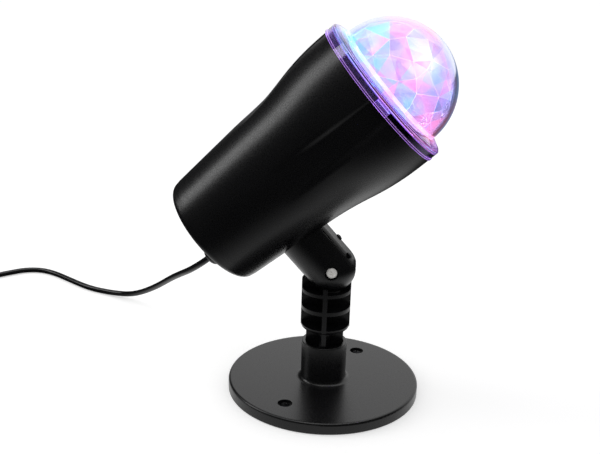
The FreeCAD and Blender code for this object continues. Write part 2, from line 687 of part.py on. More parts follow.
def housing():
    """Flared and fluted lamp body with the spigot that carries the clear cover."""
    flutes = ring_of(flute_tool(), FLUTE_COUNT)
    outer = housing_solid().cut(Part.makeCompound(flutes))
    spigot = tube(SPIGOT_RADIUS, NECK_RADIUS, SPIGOT_HEIGHT + NECK_DEPTH, (0, 0, RIM_Z - NECK_DEPTH))
    window = sector(NECK_RADIUS - SPIGOT_WALL, SPIGOT_RADIUS + SPIGOT_WALL, RIM_Z,
                    RIM_Z + 2 * SPIGOT_HEIGHT, TAB_WIDTH_ANGLE + TAB_WINDOW_ROOM)
    spigot = spigot.cut(Part.makeCompound(ring_of(window, FLUTE_COUNT)))
    cavity = housing_solid(HOUSING_WALL, RIM_Z + SPIGOT_HEIGHT)
    inner_flutes = ring_of(flute_tool(HOUSING_WALL), FLUTE_COUNT)
    cavity = cavity.cut(Part.makeCompound(inner_flutes))
    upper = block((-FAR, -FAR, RIM_Z - NECK_DEPTH), (FAR, FAR, FAR))
    neck = cylinder(NECK_RADIUS, FAR, (0, 0, RIM_Z - NECK_DEPTH))
    cavity = cavity.cut(upper).fuse(neck)
    ledge_z = COLLAR_BOTTOM - GASKET_HEIGHT - LEDGE_THICKNESS
    ledge = tube(RIM_RADIUS - FLUTE_DEPTH - HOUSING_WALL / 2, NECK_RADIUS - LEDGE_WIDTH, LEDGE_THICKNESS,
                 (0, 0, ledge_z))
    shell = outer.cut(cavity).multiFuse([spigot, ledge])

    bosses = []
    boss_z = SINK_BACK_Z - SINK_BOSS_LENGTH
    for angle in SINK_BOSS_ANGLES:
        boss = cylinder(SINK_BOSS_RADIUS, SINK_BOSS_LENGTH, (SINK_BOSS_CIRCLE, 0, boss_z))
        web = block((SINK_BOSS_CIRCLE, -BOSS_WEB / 2, boss_z), (RIM_RADIUS, BOSS_WEB / 2, SINK_BACK_Z))
        bosses.append(turned(boss.fuse(web), angle))
    for angle in PILLAR_ANGLES:
        foot = (PILLAR_CIRCLE, 0, HOUSING_REAR_Z)
        pillar = cylinder(PILLAR_RADIUS, DRIVER_Z - HOUSING_REAR_Z, foot)
        bosses.append(turned(pillar, angle))
    inside = Part.makeCompound(bosses).common(housing_solid(HOUSING_WALL / 2))
    shell = shell.fuse(inside)
    for angle in SINK_BOSS_ANGLES:
        mouth = (SINK_BOSS_CIRCLE, 0, boss_z + BOSS_FLOOR)
        shell = shell.cut(turned(cylinder(SMALL_SCREW_SHANK_RADIUS, SINK_BOSS_LENGTH, mouth), angle))
    for angle in PILLAR_ANGLES:
        bore = cylinder(SMALL_SCREW_SHANK_RADIUS, PILLAR_BORE, (PILLAR_CIRCLE, 0, DRIVER_Z - PILLAR_BORE))
        shell = shell.cut(turned(bore, angle))
    for side in (-1, 1):
        start = (ARM_TOP_X, side * ARM_MOUNT_SPREAD, ARM_MOUNT_Z)
        shell = shell.cut(cylinder(SMALL_SCREW_SHANK_RADIUS + HOLE_GAP, FAR, start, (1, 0, 0)))
    gland_hole_length = GLAND_STEM_TOP_Z - GLAND_TIP_Z
    gland_hole = cylinder(GLAND_STEM_RADIUS + HOLE_GAP, gland_hole_length, (GLAND_X, 0, GLAND_TIP_Z))
    return to_head(shell.cut(gland_hole).removeSplitter())


# Arm pieces

def arm_form():
    """Outer form of the arm: a round bar with a ball end, flattened at the front."""
    bar = cylinder(ARM_RADIUS, AXIS_OFFSET - ARM_TOP_X, (ARM_TOP_X, 0, ARM_SHIFT), (1, 0, 0))
    ball = Part.makeSphere(ARM_RADIUS, Vector(AXIS_OFFSET, 0, ARM_SHIFT))
    flat = block((0, -FAR, ARM_FRONT), (FAR, FAR, FAR))
    return bar.fuse(ball).removeSplitter().cut(housing_solid(-SEAT_GAP)).cut(flat)


def arm_cover_zone():
    """Space of the arm's front cover."""
    return block((ARM_TOP_X, -FAR, ARM_FRONT - ARM_COVER_THICKNESS), (AXIS_OFFSET + ARM_COVER_END, FAR, FAR))


def arm_slot():
    """Room for the post's tongue over the whole tilt."""
    reach = TONGUE_RADIUS + RUNNING_GAP
    width = 2 * SLOT_HALF
    swing = cylinder(reach, width, (AXIS_OFFSET, -SLOT_HALF, 0), (0, 1, 0))
    mouth = block((AXIS_OFFSET, -SLOT_HALF, -FAR), (FAR, SLOT_HALF, reach))
    rear = cylinder(ARM_SLOT_SWEEP, width, (AXIS_OFFSET, -SLOT_HALF, 0), (0, 1, 0))
    rear = rear.common(block((0, -SLOT_HALF, -FAR), (FAR, SLOT_HALF, 0)))
    return swing.fuse(mouth).fuse(rear)


def mount_screw_seat():
    """Place on the housing's inner wall where the heads of the arm's mounting screws rest."""
    wall_radius = side_radius(ARM_MOUNT_Z) - HOUSING_WALL
    return math.sqrt(wall_radius ** 2 - (ARM_MOUNT_SPREAD + SMALL_SCREW_HEAD_RADIUS) ** 2) - FIT_GAP


def arm_shell():
    """Hollow arm that carries the housing and forks round the post's tongue."""
    body = arm_form().cut(arm_cover_zone()).cut(arm_slot())
    seat = ARM_FRONT - ARM_COVER_THICKNESS
    pocket = block((ARM_POCKET_START, -ARM_POCKET_HALF_WIDTH, seat - ARM_POCKET_DEPTH),
                   (ARM_POCKET_START + ARM_POCKET_LENGTH, ARM_POCKET_HALF_WIDTH, FAR))
    body = body.cut(pocket)
    way = cylinder(PIVOT_SCREW_RADIUS + PIVOT_FIT, FAR, (AXIS_OFFSET, -FAR / 2, 0), (0, 1, 0))
    counterbore = cylinder(PIVOT_COUNTERBORE_RADIUS, ARM_RADIUS, (AXIS_OFFSET, -PIVOT_COUNTERBORE_FLOOR, 0),
                           (0, -1, 0))
    trap = aimed(hexagon(NUT_FLATS + 2 * HOLE_GAP, ARM_RADIUS), (AXIS_OFFSET, NUT_TRAP_FLOOR, 0), (0, 1, 0))
    body = body.cut(way).cut(counterbore).cut(trap)
    screw_end = ARM_FRONT - COVER_SCREW_LENGTH - HOLE_GAP
    for x, y in ARM_COVER_SCREWS:
        body = body.cut(cylinder(SMALL_SCREW_SHANK_RADIUS, FAR, (x, y, screw_end)))
    for side in (-1, 1):
        start = (mount_screw_seat(), side * ARM_MOUNT_SPREAD, ARM_MOUNT_Z)
        body = body.cut(cylinder(SMALL_SCREW_SHANK_RADIUS, ARM_MOUNT_REACH + HOLE_GAP, start, (1, 0, 0)))
    return to_head(body.removeSplitter())


def arm_cover():
    """Front cover that closes the arm's pocket."""
    body = arm_form().common(arm_cover_zone()).cut(arm_slot())
    for x, y in ARM_COVER_SCREWS:
        body = body.cut(cylinder(SMALL_SCREW_SHANK_RADIUS + HOLE_GAP, FAR, (x, y, 0)))
    return to_head(body)


def arm_cover_screws():
    screw = pan_screw(SMALL_SCREW_HEAD_RADIUS, SMALL_SCREW_HEAD_HEIGHT, SMALL_SCREW_SHANK_RADIUS - FIT_GAP,
                      COVER_SCREW_LENGTH)
    places = [(x, y, ARM_FRONT) for x, y in ARM_COVER_SCREWS]
    return to_head(Part.makeCompound([aimed(screw, place, (0, 0, 1)) for place in places]))


def arm_mount_screws():
    """Two screws from inside the housing into the arm."""
    seat = mount_screw_seat()
    screw = pan_screw(SMALL_SCREW_HEAD_RADIUS, SMALL_SCREW_HEAD_HEIGHT, SMALL_SCREW_SHANK_RADIUS - FIT_GAP,
                      ARM_MOUNT_REACH)
    return to_head(Part.makeCompound([
        aimed(screw, (seat, side * ARM_MOUNT_SPREAD, ARM_MOUNT_Z), (-1, 0, 0)) for side in (-1, 1)
    ]))


# Clear cover and its seal

COLLAR_OUTER = NECK_RADIUS - HOLE_GAP
FLANGE_Z = RIM_Z + FIT_GAP


def dome_cover():
    """Clear one-piece cover: flange, skirt over the spigot, lip and smooth dome."""
    flange_radius = RIM_RADIUS + FLANGE_OVERHANG
    skirt_inner = SPIGOT_RADIUS + HOLE_GAP
    inner_dome = DOME_RADIUS - COVER_WALL
    collar_inner = COLLAR_OUTER - COLLAR_WALL
    foot_z = LIP_TOP_Z
    foot_radius = math.sqrt(DOME_RADIUS ** 2 - (foot_z - DOME_CENTRE_Z) ** 2)
    under_z = foot_z - COVER_WALL
    under_radius = math.sqrt(inner_dome ** 2 - (under_z - DOME_CENTRE_Z) ** 2)
    roof_z = RIM_Z + SPIGOT_HEIGHT + RUNNING_GAP
    outer_top = (0, 0, DOME_CENTRE_Z + DOME_RADIUS)
    outer_middle = (DOME_RADIUS * math.sqrt(0.5), 0, DOME_CENTRE_Z + DOME_RADIUS * math.sqrt(0.5))
    inner_top = (0, 0, DOME_CENTRE_Z + inner_dome)
    inner_middle = (inner_dome * math.sqrt(0.5), 0, DOME_CENTRE_Z + inner_dome * math.sqrt(0.5))
    bevel = (RIM_RADIUS - SKIRT_BEVEL_WIDTH, 0, SKIRT_TOP + SKIRT_BEVEL_HEIGHT)
    body = revolved([
        line((skirt_inner, 0, FLANGE_Z), (flange_radius, 0, FLANGE_Z)),
        line((flange_radius, 0, FLANGE_Z), (flange_radius, 0, FLANGE_Z + FLANGE_HEIGHT)),
        line((flange_radius, 0, FLANGE_Z + FLANGE_HEIGHT), (RIM_RADIUS, 0, FLANGE_Z + FLANGE_HEIGHT)),
        line((RIM_RADIUS, 0, FLANGE_Z + FLANGE_HEIGHT), (RIM_RADIUS, 0, SKIRT_TOP)),
        line((RIM_RADIUS, 0, SKIRT_TOP), bevel),
        line(bevel, (LIP_INNER_RADIUS, 0, foot_z)),
        line((LIP_INNER_RADIUS, 0, foot_z), (foot_radius, 0, foot_z)),
        arc((foot_radius, 0, foot_z), outer_middle, outer_top),
        line(outer_top, inner_top),
        arc(inner_top, inner_middle, (under_radius, 0, under_z)),
        line((under_radius, 0, under_z), (collar_inner, 0, roof_z)),
        line((collar_inner, 0, roof_z), (collar_inner, 0, COLLAR_BOTTOM)),
        line((collar_inner, 0, COLLAR_BOTTOM), (COLLAR_OUTER, 0, COLLAR_BOTTOM)),
        line((COLLAR_OUTER, 0, COLLAR_BOTTOM), (COLLAR_OUTER, 0, roof_z)),
        line((COLLAR_OUTER, 0, roof_z), (skirt_inner, 0, roof_z)),
        line((skirt_inner, 0, roof_z), (skirt_inner, 0, FLANGE_Z)),
    ])
    overlap = COLLAR_WALL / 4
    tab_bottom = RIM_Z + HOLE_GAP
    tab = sector(COLLAR_OUTER - overlap, skirt_inner + overlap, tab_bottom, roof_z + overlap, TAB_WIDTH_ANGLE)
    return to_head(body.multiFuse(ring_of(tab, FLUTE_COUNT)).removeSplitter())


def dome_gasket():
    """Soft ring between the cover's collar and the housing's ledge."""
    seat = (0, 0, COLLAR_BOTTOM - GASKET_HEIGHT)
    return to_head(tube(COLLAR_OUTER, COLLAR_OUTER - COLLAR_WALL, GASKET_HEIGHT - FIT_GAP, seat))


# Turning lens

def faceted_body(scale=1.0, turn=0.0):
    """Gem-like solid: a ball cut flat along each facet's plane."""
    solid = Part.makeSphere(LENS_FACET_DISTANCE * LENS_BLANK_SCALE)
    reach = 2 * LENS_FACET_DISTANCE
    index = 0
    for polar, count in LENS_FACET_RINGS:
        for i in range(count):
            index += 1
            theta = math.radians(polar + LENS_POLAR_SWAY * math.sin(LENS_SWAY_STEP * index))
            sway = LENS_ROUND_SWAY * math.cos(LENS_SWAY_STEP * index * polar)
            phi = math.radians(360.0 * i / count + sway)
            distance = LENS_FACET_DISTANCE + LENS_FACET_JITTER * math.sin(LENS_SWAY_STEP * index)
            normal = (math.sin(theta) * math.cos(phi), math.sin(theta) * math.sin(phi), math.cos(theta))
            slab = block((-reach, -reach, distance), (reach, reach, 2 * reach))
            solid = solid.cut(aimed(slab, (0, 0, 0), normal))
    solid.rotate(Vector(0, 0, 0), Vector(0, 0, 1), turn)
    solid.scale(scale)
    solid.translate(Vector(0, 0, DOME_CENTRE_Z))
    return solid


def rotor_lens():
    """Faceted inner dome that throws the moving light spots."""
    below = block((-FAR, -FAR, -FAR), (FAR, FAR, LENS_BOTTOM))
    outer = faceted_body().cut(below)
    inner = faceted_body(LENS_INNER_SCALE, LENS_INNER_TURN)
    return to_head(outer.cut(inner))


def rotor_spider():
    """Open wheel that carries the lens on the motor's shaft."""
    rim_outer = LENS_FACET_DISTANCE - SPIDER_INSET
    bottom = LENS_BOTTOM - SPIDER_THICKNESS
    rim = tube(rim_outer, rim_outer - SPIDER_RIM_WIDTH, SPIDER_THICKNESS, (0, 0, bottom))
    spoke = block((SPIDER_HUB_RADIUS / 2 + SHAFT_RADIUS, -SPIDER_SPOKE_WIDTH / 2, bottom),
                  (rim_outer - SPIDER_RIM_WIDTH / 2, SPIDER_SPOKE_WIDTH / 2, LENS_BOTTOM))
    hub = cylinder(SPIDER_HUB_RADIUS, SPIDER_HUB_LENGTH, (0, 0, bottom))
    body = rim.multiFuse(ring_of(spoke, SPIDER_SPOKES) + [hub])
    bore = cylinder(SHAFT_RADIUS + FIT_GAP, SPIDER_HUB_LENGTH - HUB_ROOF, (0, 0, bottom))
    return to_head(body.cut(bore).removeSplitter())


MOTOR_FRONT_Z = SINK_BACK_Z - MOTOR_EAR_THICKNESS


def motor_shaft():
    top = LENS_BOTTOM - SPIDER_THICKNESS + SPIDER_HUB_LENGTH - HUB_ROOF - FIT_GAP
    bottom = MOTOR_FRONT_Z - SHAFT_SEAT
    return to_head(cylinder(SHAFT_RADIUS, top - bottom, (0, 0, bottom)))


# Light engine

def sink_lug(angle):
    lug = cylinder(SINK_BOSS_RADIUS, SINK_BASE_THICKNESS, (SINK_BOSS_CIRCLE, 0, SINK_BACK_Z))
    neck = block((SINK_RADIUS - SINK_BOSS_RADIUS, -SINK_BOSS_RADIUS, SINK_BACK_Z),
                 (SINK_BOSS_CIRCLE, SINK_BOSS_RADIUS, SINK_FRONT_Z))
    return turned(lug.fuse(neck), angle)


def heat_sink():
    """Aluminium plate with fins behind the light board."""
    plate = cylinder(SINK_RADIUS, SINK_BASE_THICKNESS, (0, 0, SINK_BACK_Z))
    fins = []
    for i in range(SINK_FIN_COUNT):
        y = (i - (SINK_FIN_COUNT - 1) / 2) * SINK_FIN_PITCH
        half = math.sqrt(SINK_RADIUS ** 2 - (abs(y) + SINK_FIN_THICKNESS) ** 2)
        fins.append(block((-half, y - SINK_FIN_THICKNESS / 2, SINK_BACK_Z - SINK_FIN_LENGTH),
                          (half, y + SINK_FIN_THICKNESS / 2, SINK_BACK_Z + SINK_BASE_THICKNESS / 2)))
    body = plate.multiFuse(fins + [sink_lug(angle) for angle in SINK_BOSS_ANGLES])
    room_x = MOTOR_EAR_CIRCLE + MOTOR_EAR_RADIUS + MOTOR_ROOM
    room_y = MOTOR_RADIUS + MOTOR_ROOM
    room = block((-room_x, -room_y, 0), (room_x, room_y, SINK_BACK_Z))
    body = body.cut(room).cut(cylinder(SHAFT_RADIUS + SHAFT_ROOM, FAR))
    for angle in SINK_BOSS_ANGLES:
        way = cylinder(SMALL_SCREW_SHANK_RADIUS + HOLE_GAP, FAR, (SINK_BOSS_CIRCLE, 0, 0))
        body = body.cut(turned(way, angle))
    for side in (-1, 1):
        body = body.cut(cylinder(SMALL_SCREW_SHANK_RADIUS, MOTOR_SCREW_BITE + HOLE_GAP,
                                 (side * MOTOR_EAR_CIRCLE, 0, SINK_BACK_Z)))
    return to_head(body.removeSplitter())


def sink_screws():
    screw = pan_screw(SMALL_SCREW_HEAD_RADIUS, SMALL_SCREW_HEAD_HEIGHT, SMALL_SCREW_SHANK_RADIUS - FIT_GAP,
                      SINK_BASE_THICKNESS + SINK_SCREW_BITE)
    placed = [turned(aimed(screw, (SINK_BOSS_CIRCLE, 0, SINK_FRONT_Z), (0, 0, 1)), angle)
              for angle in SINK_BOSS_ANGLES]
    return to_head(Part.makeCompound(placed))


def led_board():
    board = cylinder(LED_BOARD_RADIUS, LED_BOARD_THICKNESS, (0, 0, SINK_FRONT_Z))
    return to_head(board.cut(cylinder(SHAFT_RADIUS + SHAFT_ROOM, FAR)))


def led_places():
    return [(LED_CIRCLE * math.cos(math.radians(45 + 360.0 * i / LED_COUNT)),
             LED_CIRCLE * math.sin(math.radians(45 + 360.0 * i / LED_COUNT))) for i in range(LED_COUNT)]


LED_SEAT_Z = SINK_FRONT_Z + LED_BOARD_THICKNESS


def leds():
    """Light-emitting chips: a square body with a small domed window."""
    solids = []
    for x, y in led_places():
        half = LED_SIZE / 2
        body = block((x - half, y - half, LED_SEAT_Z), (x + half, y + half, LED_SEAT_Z + LED_HEIGHT))
        window = Part.makeSphere(LED_WINDOW_RADIUS, Vector(x, y, LED_SEAT_Z + LED_HEIGHT))
        above = block((x - half, y - half, LED_SEAT_Z), (x + half, y + half, FAR))
        solids.append(body.fuse(window.common(above)).removeSplitter())
    return to_head(Part.makeCompound(solids))


def led_optics():
    """Clear cone lenses over the chips, hollow at the foot."""
    solids = []
    foot = LED_SEAT_Z
    room = LED_SIZE / math.sqrt(2) + RUNNING_GAP
    for x, y in led_places():
        cone = Part.makeCone(OPTIC_FOOT_RADIUS, OPTIC_RADIUS, OPTIC_HEIGHT, Vector(x, y, foot))
        rim = cylinder(OPTIC_RADIUS, OPTIC_RIM, (x, y, foot + OPTIC_HEIGHT))
        hollow = cylinder(room, LED_HEIGHT + LED_WINDOW_RADIUS + RUNNING_GAP, (x, y, foot))
        solids.append(cone.fuse(rim).cut(hollow).removeSplitter())
    return to_head(Part.makeCompound(solids))


def motor():
    """Small geared motor with two ears."""
    can = cylinder(MOTOR_RADIUS, MOTOR_LENGTH, (0, 0, MOTOR_FRONT_Z - MOTOR_LENGTH))
    can = can.makeFillet(MOTOR_REAR_ROUND, edges_at(can, MOTOR_FRONT_Z - MOTOR_LENGTH))
    ears = block((-MOTOR_EAR_CIRCLE, -MOTOR_EAR_RADIUS, MOTOR_FRONT_Z),
                 (MOTOR_EAR_CIRCLE, MOTOR_EAR_RADIUS, SINK_BACK_Z - FIT_GAP))
    thickness = MOTOR_EAR_THICKNESS - FIT_GAP
    ends = [cylinder(MOTOR_EAR_RADIUS, thickness, (side * MOTOR_EAR_CIRCLE, 0, MOTOR_FRONT_Z))
            for side in (-1, 1)]
    body = can.multiFuse([ears] + ends)
    body = body.cut(cylinder(SHAFT_RADIUS + FIT_GAP, FAR, (0, 0, MOTOR_FRONT_Z - SHAFT_SEAT - FIT_GAP)))
    for side in (-1, 1):
        body = body.cut(cylinder(SMALL_SCREW_SHANK_RADIUS + HOLE_GAP, FAR, (side * MOTOR_EAR_CIRCLE, 0, 0)))
    return to_head(body.removeSplitter())


def motor_screws():
    screw = pan_screw(SMALL_SCREW_HEAD_RADIUS, SMALL_SCREW_HEAD_HEIGHT, SMALL_SCREW_SHANK_RADIUS - FIT_GAP,
                      MOTOR_EAR_THICKNESS + MOTOR_SCREW_BITE)
    return to_head(Part.makeCompound([
        aimed(screw, (side * MOTOR_EAR_CIRCLE, 0, MOTOR_FRONT_Z), (0, 0, -1)) for side in (-1, 1)
    ]))


def driver_board():
    board = cylinder(DRIVER_RADIUS, DRIVER_THICKNESS, (0, 0, DRIVER_Z))
    for angle in PILLAR_ANGLES:
        way = cylinder(SMALL_SCREW_SHANK_RADIUS + HOLE_GAP, FAR, (PILLAR_CIRCLE, 0, DRIVER_Z))
        board = board.cut(turned(way, angle))
    return to_head(board)


def driver_screws():
    screw = pan_screw(SMALL_SCREW_HEAD_RADIUS, SMALL_SCREW_HEAD_HEIGHT, SMALL_SCREW_SHANK_RADIUS - FIT_GAP,
                      DRIVER_SCREW_LENGTH)
    placed = [turned(aimed(screw, (PILLAR_CIRCLE, 0, DRIVER_Z + DRIVER_THICKNESS), (0, 0, 1)), angle)
              for angle in PILLAR_ANGLES]
    return to_head(Part.makeCompound(placed))


def driver_parts():
    """Transformer, two capacitors and a terminal block on the driver board."""
    seat = DRIVER_Z + DRIVER_THICKNESS

    def standing(x, length, width, low, high):
        return block((x - length / 2, -width / 2, seat + low), (x + length / 2, width / 2, seat + high))

    core = standing(CORE_X, CORE_LENGTH, CORE_WIDTH, 0, CORE_HEIGHT)
    winding = standing(CORE_X, WINDING_LENGTH, WINDING_WIDTH, WINDING_LIFT, CORE_HEIGHT - WINDING_LIFT)
    transformer = core.fuse(winding).removeSplitter()
    capacitors = [cylinder(CAPACITOR_RADIUS, CAPACITOR_HEIGHT, (CAPACITOR_X, side * CAPACITOR_Y, seat))
                  for side in (-1, 1)]
    terminal = standing(TERMINAL_X, TERMINAL_LENGTH, TERMINAL_WIDTH, 0, TERMINAL_HEIGHT)
    return to_head(Part.makeCompound([transformer] + capacitors + [terminal]))


# Cord entry

def cord_gland():
    """Round domed boss on the rear wall that holds the cord."""
    flange_z = rear_face_z(GLAND_X) - FIT_GAP
    dome = cylinder(GLAND_RADIUS, flange_z - GLAND_TIP_Z, (GLAND_X, 0, GLAND_TIP_Z))
    dome = dome.makeFillet(GLAND_NOSE_ROUND, edges_at(dome, GLAND_TIP_Z))
    stem = cylinder(GLAND_STEM_RADIUS, GLAND_STEM_TOP_Z - flange_z + CORD_RADIUS,
                    (GLAND_X, 0, flange_z - CORD_RADIUS))
    bore = cylinder(CORD_RADIUS + FIT_GAP, FAR, (GLAND_X, 0, -FAR))
    mouth = Part.makeCone(CORD_RADIUS + GLAND_FLARE, CORD_RADIUS + RUNNING_GAP, CORD_START_Z - GLAND_TIP_Z,
                          Vector(GLAND_X, 0, GLAND_TIP_Z))
    wall = housing_solid().common(tube(FAR, GLAND_STEM_RADIUS, FAR, (GLAND_X, 0, -FAR)))
    body = dome.fuse(stem).removeSplitter().cut(wall)
    return to_head(body.cut(bore).cut(mouth).removeSplitter())


def gland_nut():
    seat = rear_face_z(GLAND_X + GLAND_NUT_FLATS / 2, HOUSING_WALL) + HOLE_GAP
    nut = hexagon(GLAND_NUT_FLATS, GLAND_NUT_THICKNESS, (GLAND_X, 0, seat))
    return to_head(nut.cut(cylinder(GLAND_STEM_RADIUS + FIT_GAP, FAR, (GLAND_X, 0, -FAR / 2))))


def cord_entry():
    """Cord inside the gland, stripped where it ends in the housing."""
    return to_head(cylinder(CORD_RADIUS, JACKET_END_Z - CORD_START_Z, (GLAND_X, 0, CORD_START_Z)))


def mains_wires():
    """Two insulated wires from the stripped cord to the driver board."""
    wire = cylinder(WIRE_RADIUS, DRIVER_Z - JACKET_END_Z, (0, 0, JACKET_END_Z))
    sides = []
    for side in (-1, 1):
        copy = wire.copy()
        copy.translate(Vector(GLAND_X, side * WIRE_SPREAD, 0))
        sides.append(copy)
    return to_head(Part.makeCompound(sides))


# Cord outside the lamp

def tangent_arc(start, corner, end):
    """Arc that leaves start towards the corner and arrives at end from it, both as far from the corner."""
    half_opening = (start - corner).getAngle(end - corner) / 2
    leg = (start - corner).Length
    radius = leg * math.tan(half_opening)
    bisector = ((start - corner).normalize() + (end - corner).normalize()).normalize()
    middle = corner + bisector * (leg / math.cos(half_opening) - radius)
    return Part.Arc(start, middle, end).toShape(), radius


def rounded_path(points):
    """Straight runs joined by tangent arcs as large as their runs allow, and the arcs' radii."""
    edges = []
    radii = []
    cursor = points[0]
    for before, corner, after in zip(points, points[1:], points[2:]):
        cut = CORD_ARC_SHARE * min((before - corner).Length, (after - corner).Length)
        start = corner + (before - corner).normalize() * cut
        end = corner + (after - corner).normalize() * cut
        bend, radius = tangent_arc(start, corner, end)
        edges += [Part.LineSegment(cursor, start).toShape(), bend]
        radii.append(radius)
        cursor = end
    edges.append(Part.LineSegment(cursor, points[-1]).toShape())
    return edges, radii


def print_radii(radii, name):
    print(name, "radii:", ", ".join(f"{r:.1f}" for r in radii))


def swept_cord(edges, name):
    """Round cord along a path; prints how its volume compares with section times length."""
    path = Part.Wire(edges)
    first = path.OrderedEdges[0]
    start = first.FirstParameter
    circle = Part.Circle(first.valueAt(start), first.tangentAt(start), CORD_RADIUS)
    solid = path.makePipeShell([Part.Wire(circle.toShape())], True, False)
    ideal = math.pi * CORD_RADIUS ** 2 * path.Length
    print(name, f"length {path.Length:.1f} mm, volume ratio {solid.Volume / ideal:.4f}")
    return solid


COIL_SWEEP = 360.0 * COIL_TURNS + COIL_ENTRY_ANGLE - COIL_EXIT_ANGLE
COIL_STEP = COIL_SWEEP / COIL_QUARTERS


def coil_point(angle):
    """Point of the coil's centre line, at an angle counted from the middle of its reversing half turn."""
    climb = min(max((angle + COIL_STEP) / (2 * COIL_STEP), 0.0), 1.0)
    rise = climb * climb * (3 - 2 * climb)
    radius = COIL_INNER_RADIUS + COIL_PITCH * abs(angle) / 360.0
    turn = math.radians(COIL_ENTRY_ANGLE - COIL_SWEEP / 2 - angle)
    return Vector(COIL_X + radius * math.cos(turn), COIL_Y + radius * math.sin(turn),
                  CORD_FLOOR_Z + COIL_PITCH * rise)


def coil_direction(angle):
    nudge = 0.01
    return (coil_point(angle + nudge) - coil_point(angle - nudge)).normalize()


def biarc(start, start_direction, end, end_direction):
    """Two tangent arcs from one point and direction to another."""
    span = end - start
    both = start_direction + end_direction
    slack = 2 * (1 - start_direction.dot(end_direction))
    leg = (math.sqrt(span.dot(both) ** 2 + slack * span.dot(span)) - span.dot(both)) / slack
    first_corner = start + start_direction * leg
    second_corner = end - end_direction * leg
    joint = (first_corner + second_corner) * 0.5
    return [tangent_arc(start, first_corner, joint)[0], tangent_arc(joint, second_corner, end)[0]]


def coil_ends():
    """Start and end of the coil's tube with their directions, one diameter outside its turns."""
    half = COIL_SWEEP / 2
    start_direction = coil_direction(-half)
    end_direction = coil_direction(half)
    straight = 2 * CORD_RADIUS
    start = coil_point(-half) - start_direction * straight
    end = coil_point(half) + end_direction * straight
    return start, start_direction, end, end_direction


def print_least_gap(edges, name):
    """Least gap of a cord to itself, measured on points about a quarter diameter apart."""
    path = Part.Wire(edges)
    spacing = CORD_RADIUS / 2
    points = path.discretize(Distance=spacing)
    skip = int(COIL_INNER_RADIUS / spacing)
    places = [(p.x, p.y, p.z) for p in points]
    least = min(math.dist(a, b) for i, a in enumerate(places) for b in places[i + skip:])
    print(name, f"least gap to itself {least - 2 * CORD_RADIUS:.2f} mm")


def cord_coil():
    """Spare length of the cord: a neat coil in two layers, wound in on the table and out on top."""
    start, start_direction, end, end_direction = coil_ends()
    angles = [COIL_STEP * (i - COIL_QUARTERS / 2) for i in range(COIL_QUARTERS + 1)]
    edges = [Part.LineSegment(start, coil_point(angles[0])).toShape()]
    for a, b in zip(angles, angles[1:]):
        edges += biarc(coil_point(a), coil_direction(a), coil_point(b), coil_direction(b))
    edges.append(Part.LineSegment(coil_point(angles[-1]), end).toShape())
    print_least_gap(edges, "cord_coil")
    return swept_cord(edges, "cord_coil")


def cord_route():
    """Corner points from the gland to the coil."""
    start, direction = coil_ends()[:2]
    out_of_gland = [head_point(GLAND_X, 0, CORD_START_Z), head_point(GLAND_X, 0, CORD_BEND_Z)]
    lead_in = [start - direction * COIL_LEAD, start]
    return out_of_gland + [Vector(*p) for p in CORD_POINTS] + lead_in


def cord_drop():
    """Stretch of the cord from the gland down to the table."""
    edges, radii = rounded_path(cord_route())
    print_radii(radii[:CORD_SPLIT], "cord_drop")
    return swept_cord(edges[:2 * CORD_SPLIT], "cord_drop")


def cord_floor():
    """Stretch of the cord that lies on the table as far as the coil."""
    edges, radii = rounded_path(cord_route())
    print_radii(radii[CORD_SPLIT:], "cord_floor")
    return swept_cord(edges[2 * CORD_SPLIT:], "cord_floor")


def tail_route():
    """Corner points from the coil to the plug."""
    end, direction = coil_ends()[2:]
    return [end, end + direction * COIL_LEAD] + [Vector(*p) for p in TAIL_POINTS]


def cord_tail():
    """Stretch of the cord from the coil to the plug."""
    edges, radii = rounded_path(tail_route())
    print_radii(radii, "cord_tail")
    return swept_cord(edges, "cord_tail")


# Plug

def to_plug(shape):
    """Move a shape built about +z, with the cord's end at the origin and +y up, to the plug's place."""
    before, end = tail_route()[-2:]
    forward = (end - before).normalize()
    up = Vector(0, 0, 1)
    placed = shape.copy()
    placed.Placement = Placement(end, Rotation(up.cross(forward), up, forward, "ZYX"))
    return placed


def rounded_section(width, thickness, corner, z):
    """Flat rounded outline across the plug."""
    x = width / 2
    y = thickness / 2
    bend = corner * (1 - math.sqrt(0.5))
    edges = []
    for sx, sy in ((1, 1), (-1, 1), (-1, -1), (1, -1)):
        along_y = (sx * x, sy * (y - corner), z)
        along_x = (sx * (x - corner), sy * y, z)
        middle = (sx * (x - bend), sy * (y - bend), z)
        first, second = (along_y, along_x) if sx * sy > 0 else (along_x, along_y)
        edges.append((first, middle, second))
    outline = []
    for i, (first, middle, second) in enumerate(edges):
        outline.append(arc(first, middle, second))
        outline.append(line(second, edges[(i + 1) % 4][0]))
    return Part.Wire(outline)


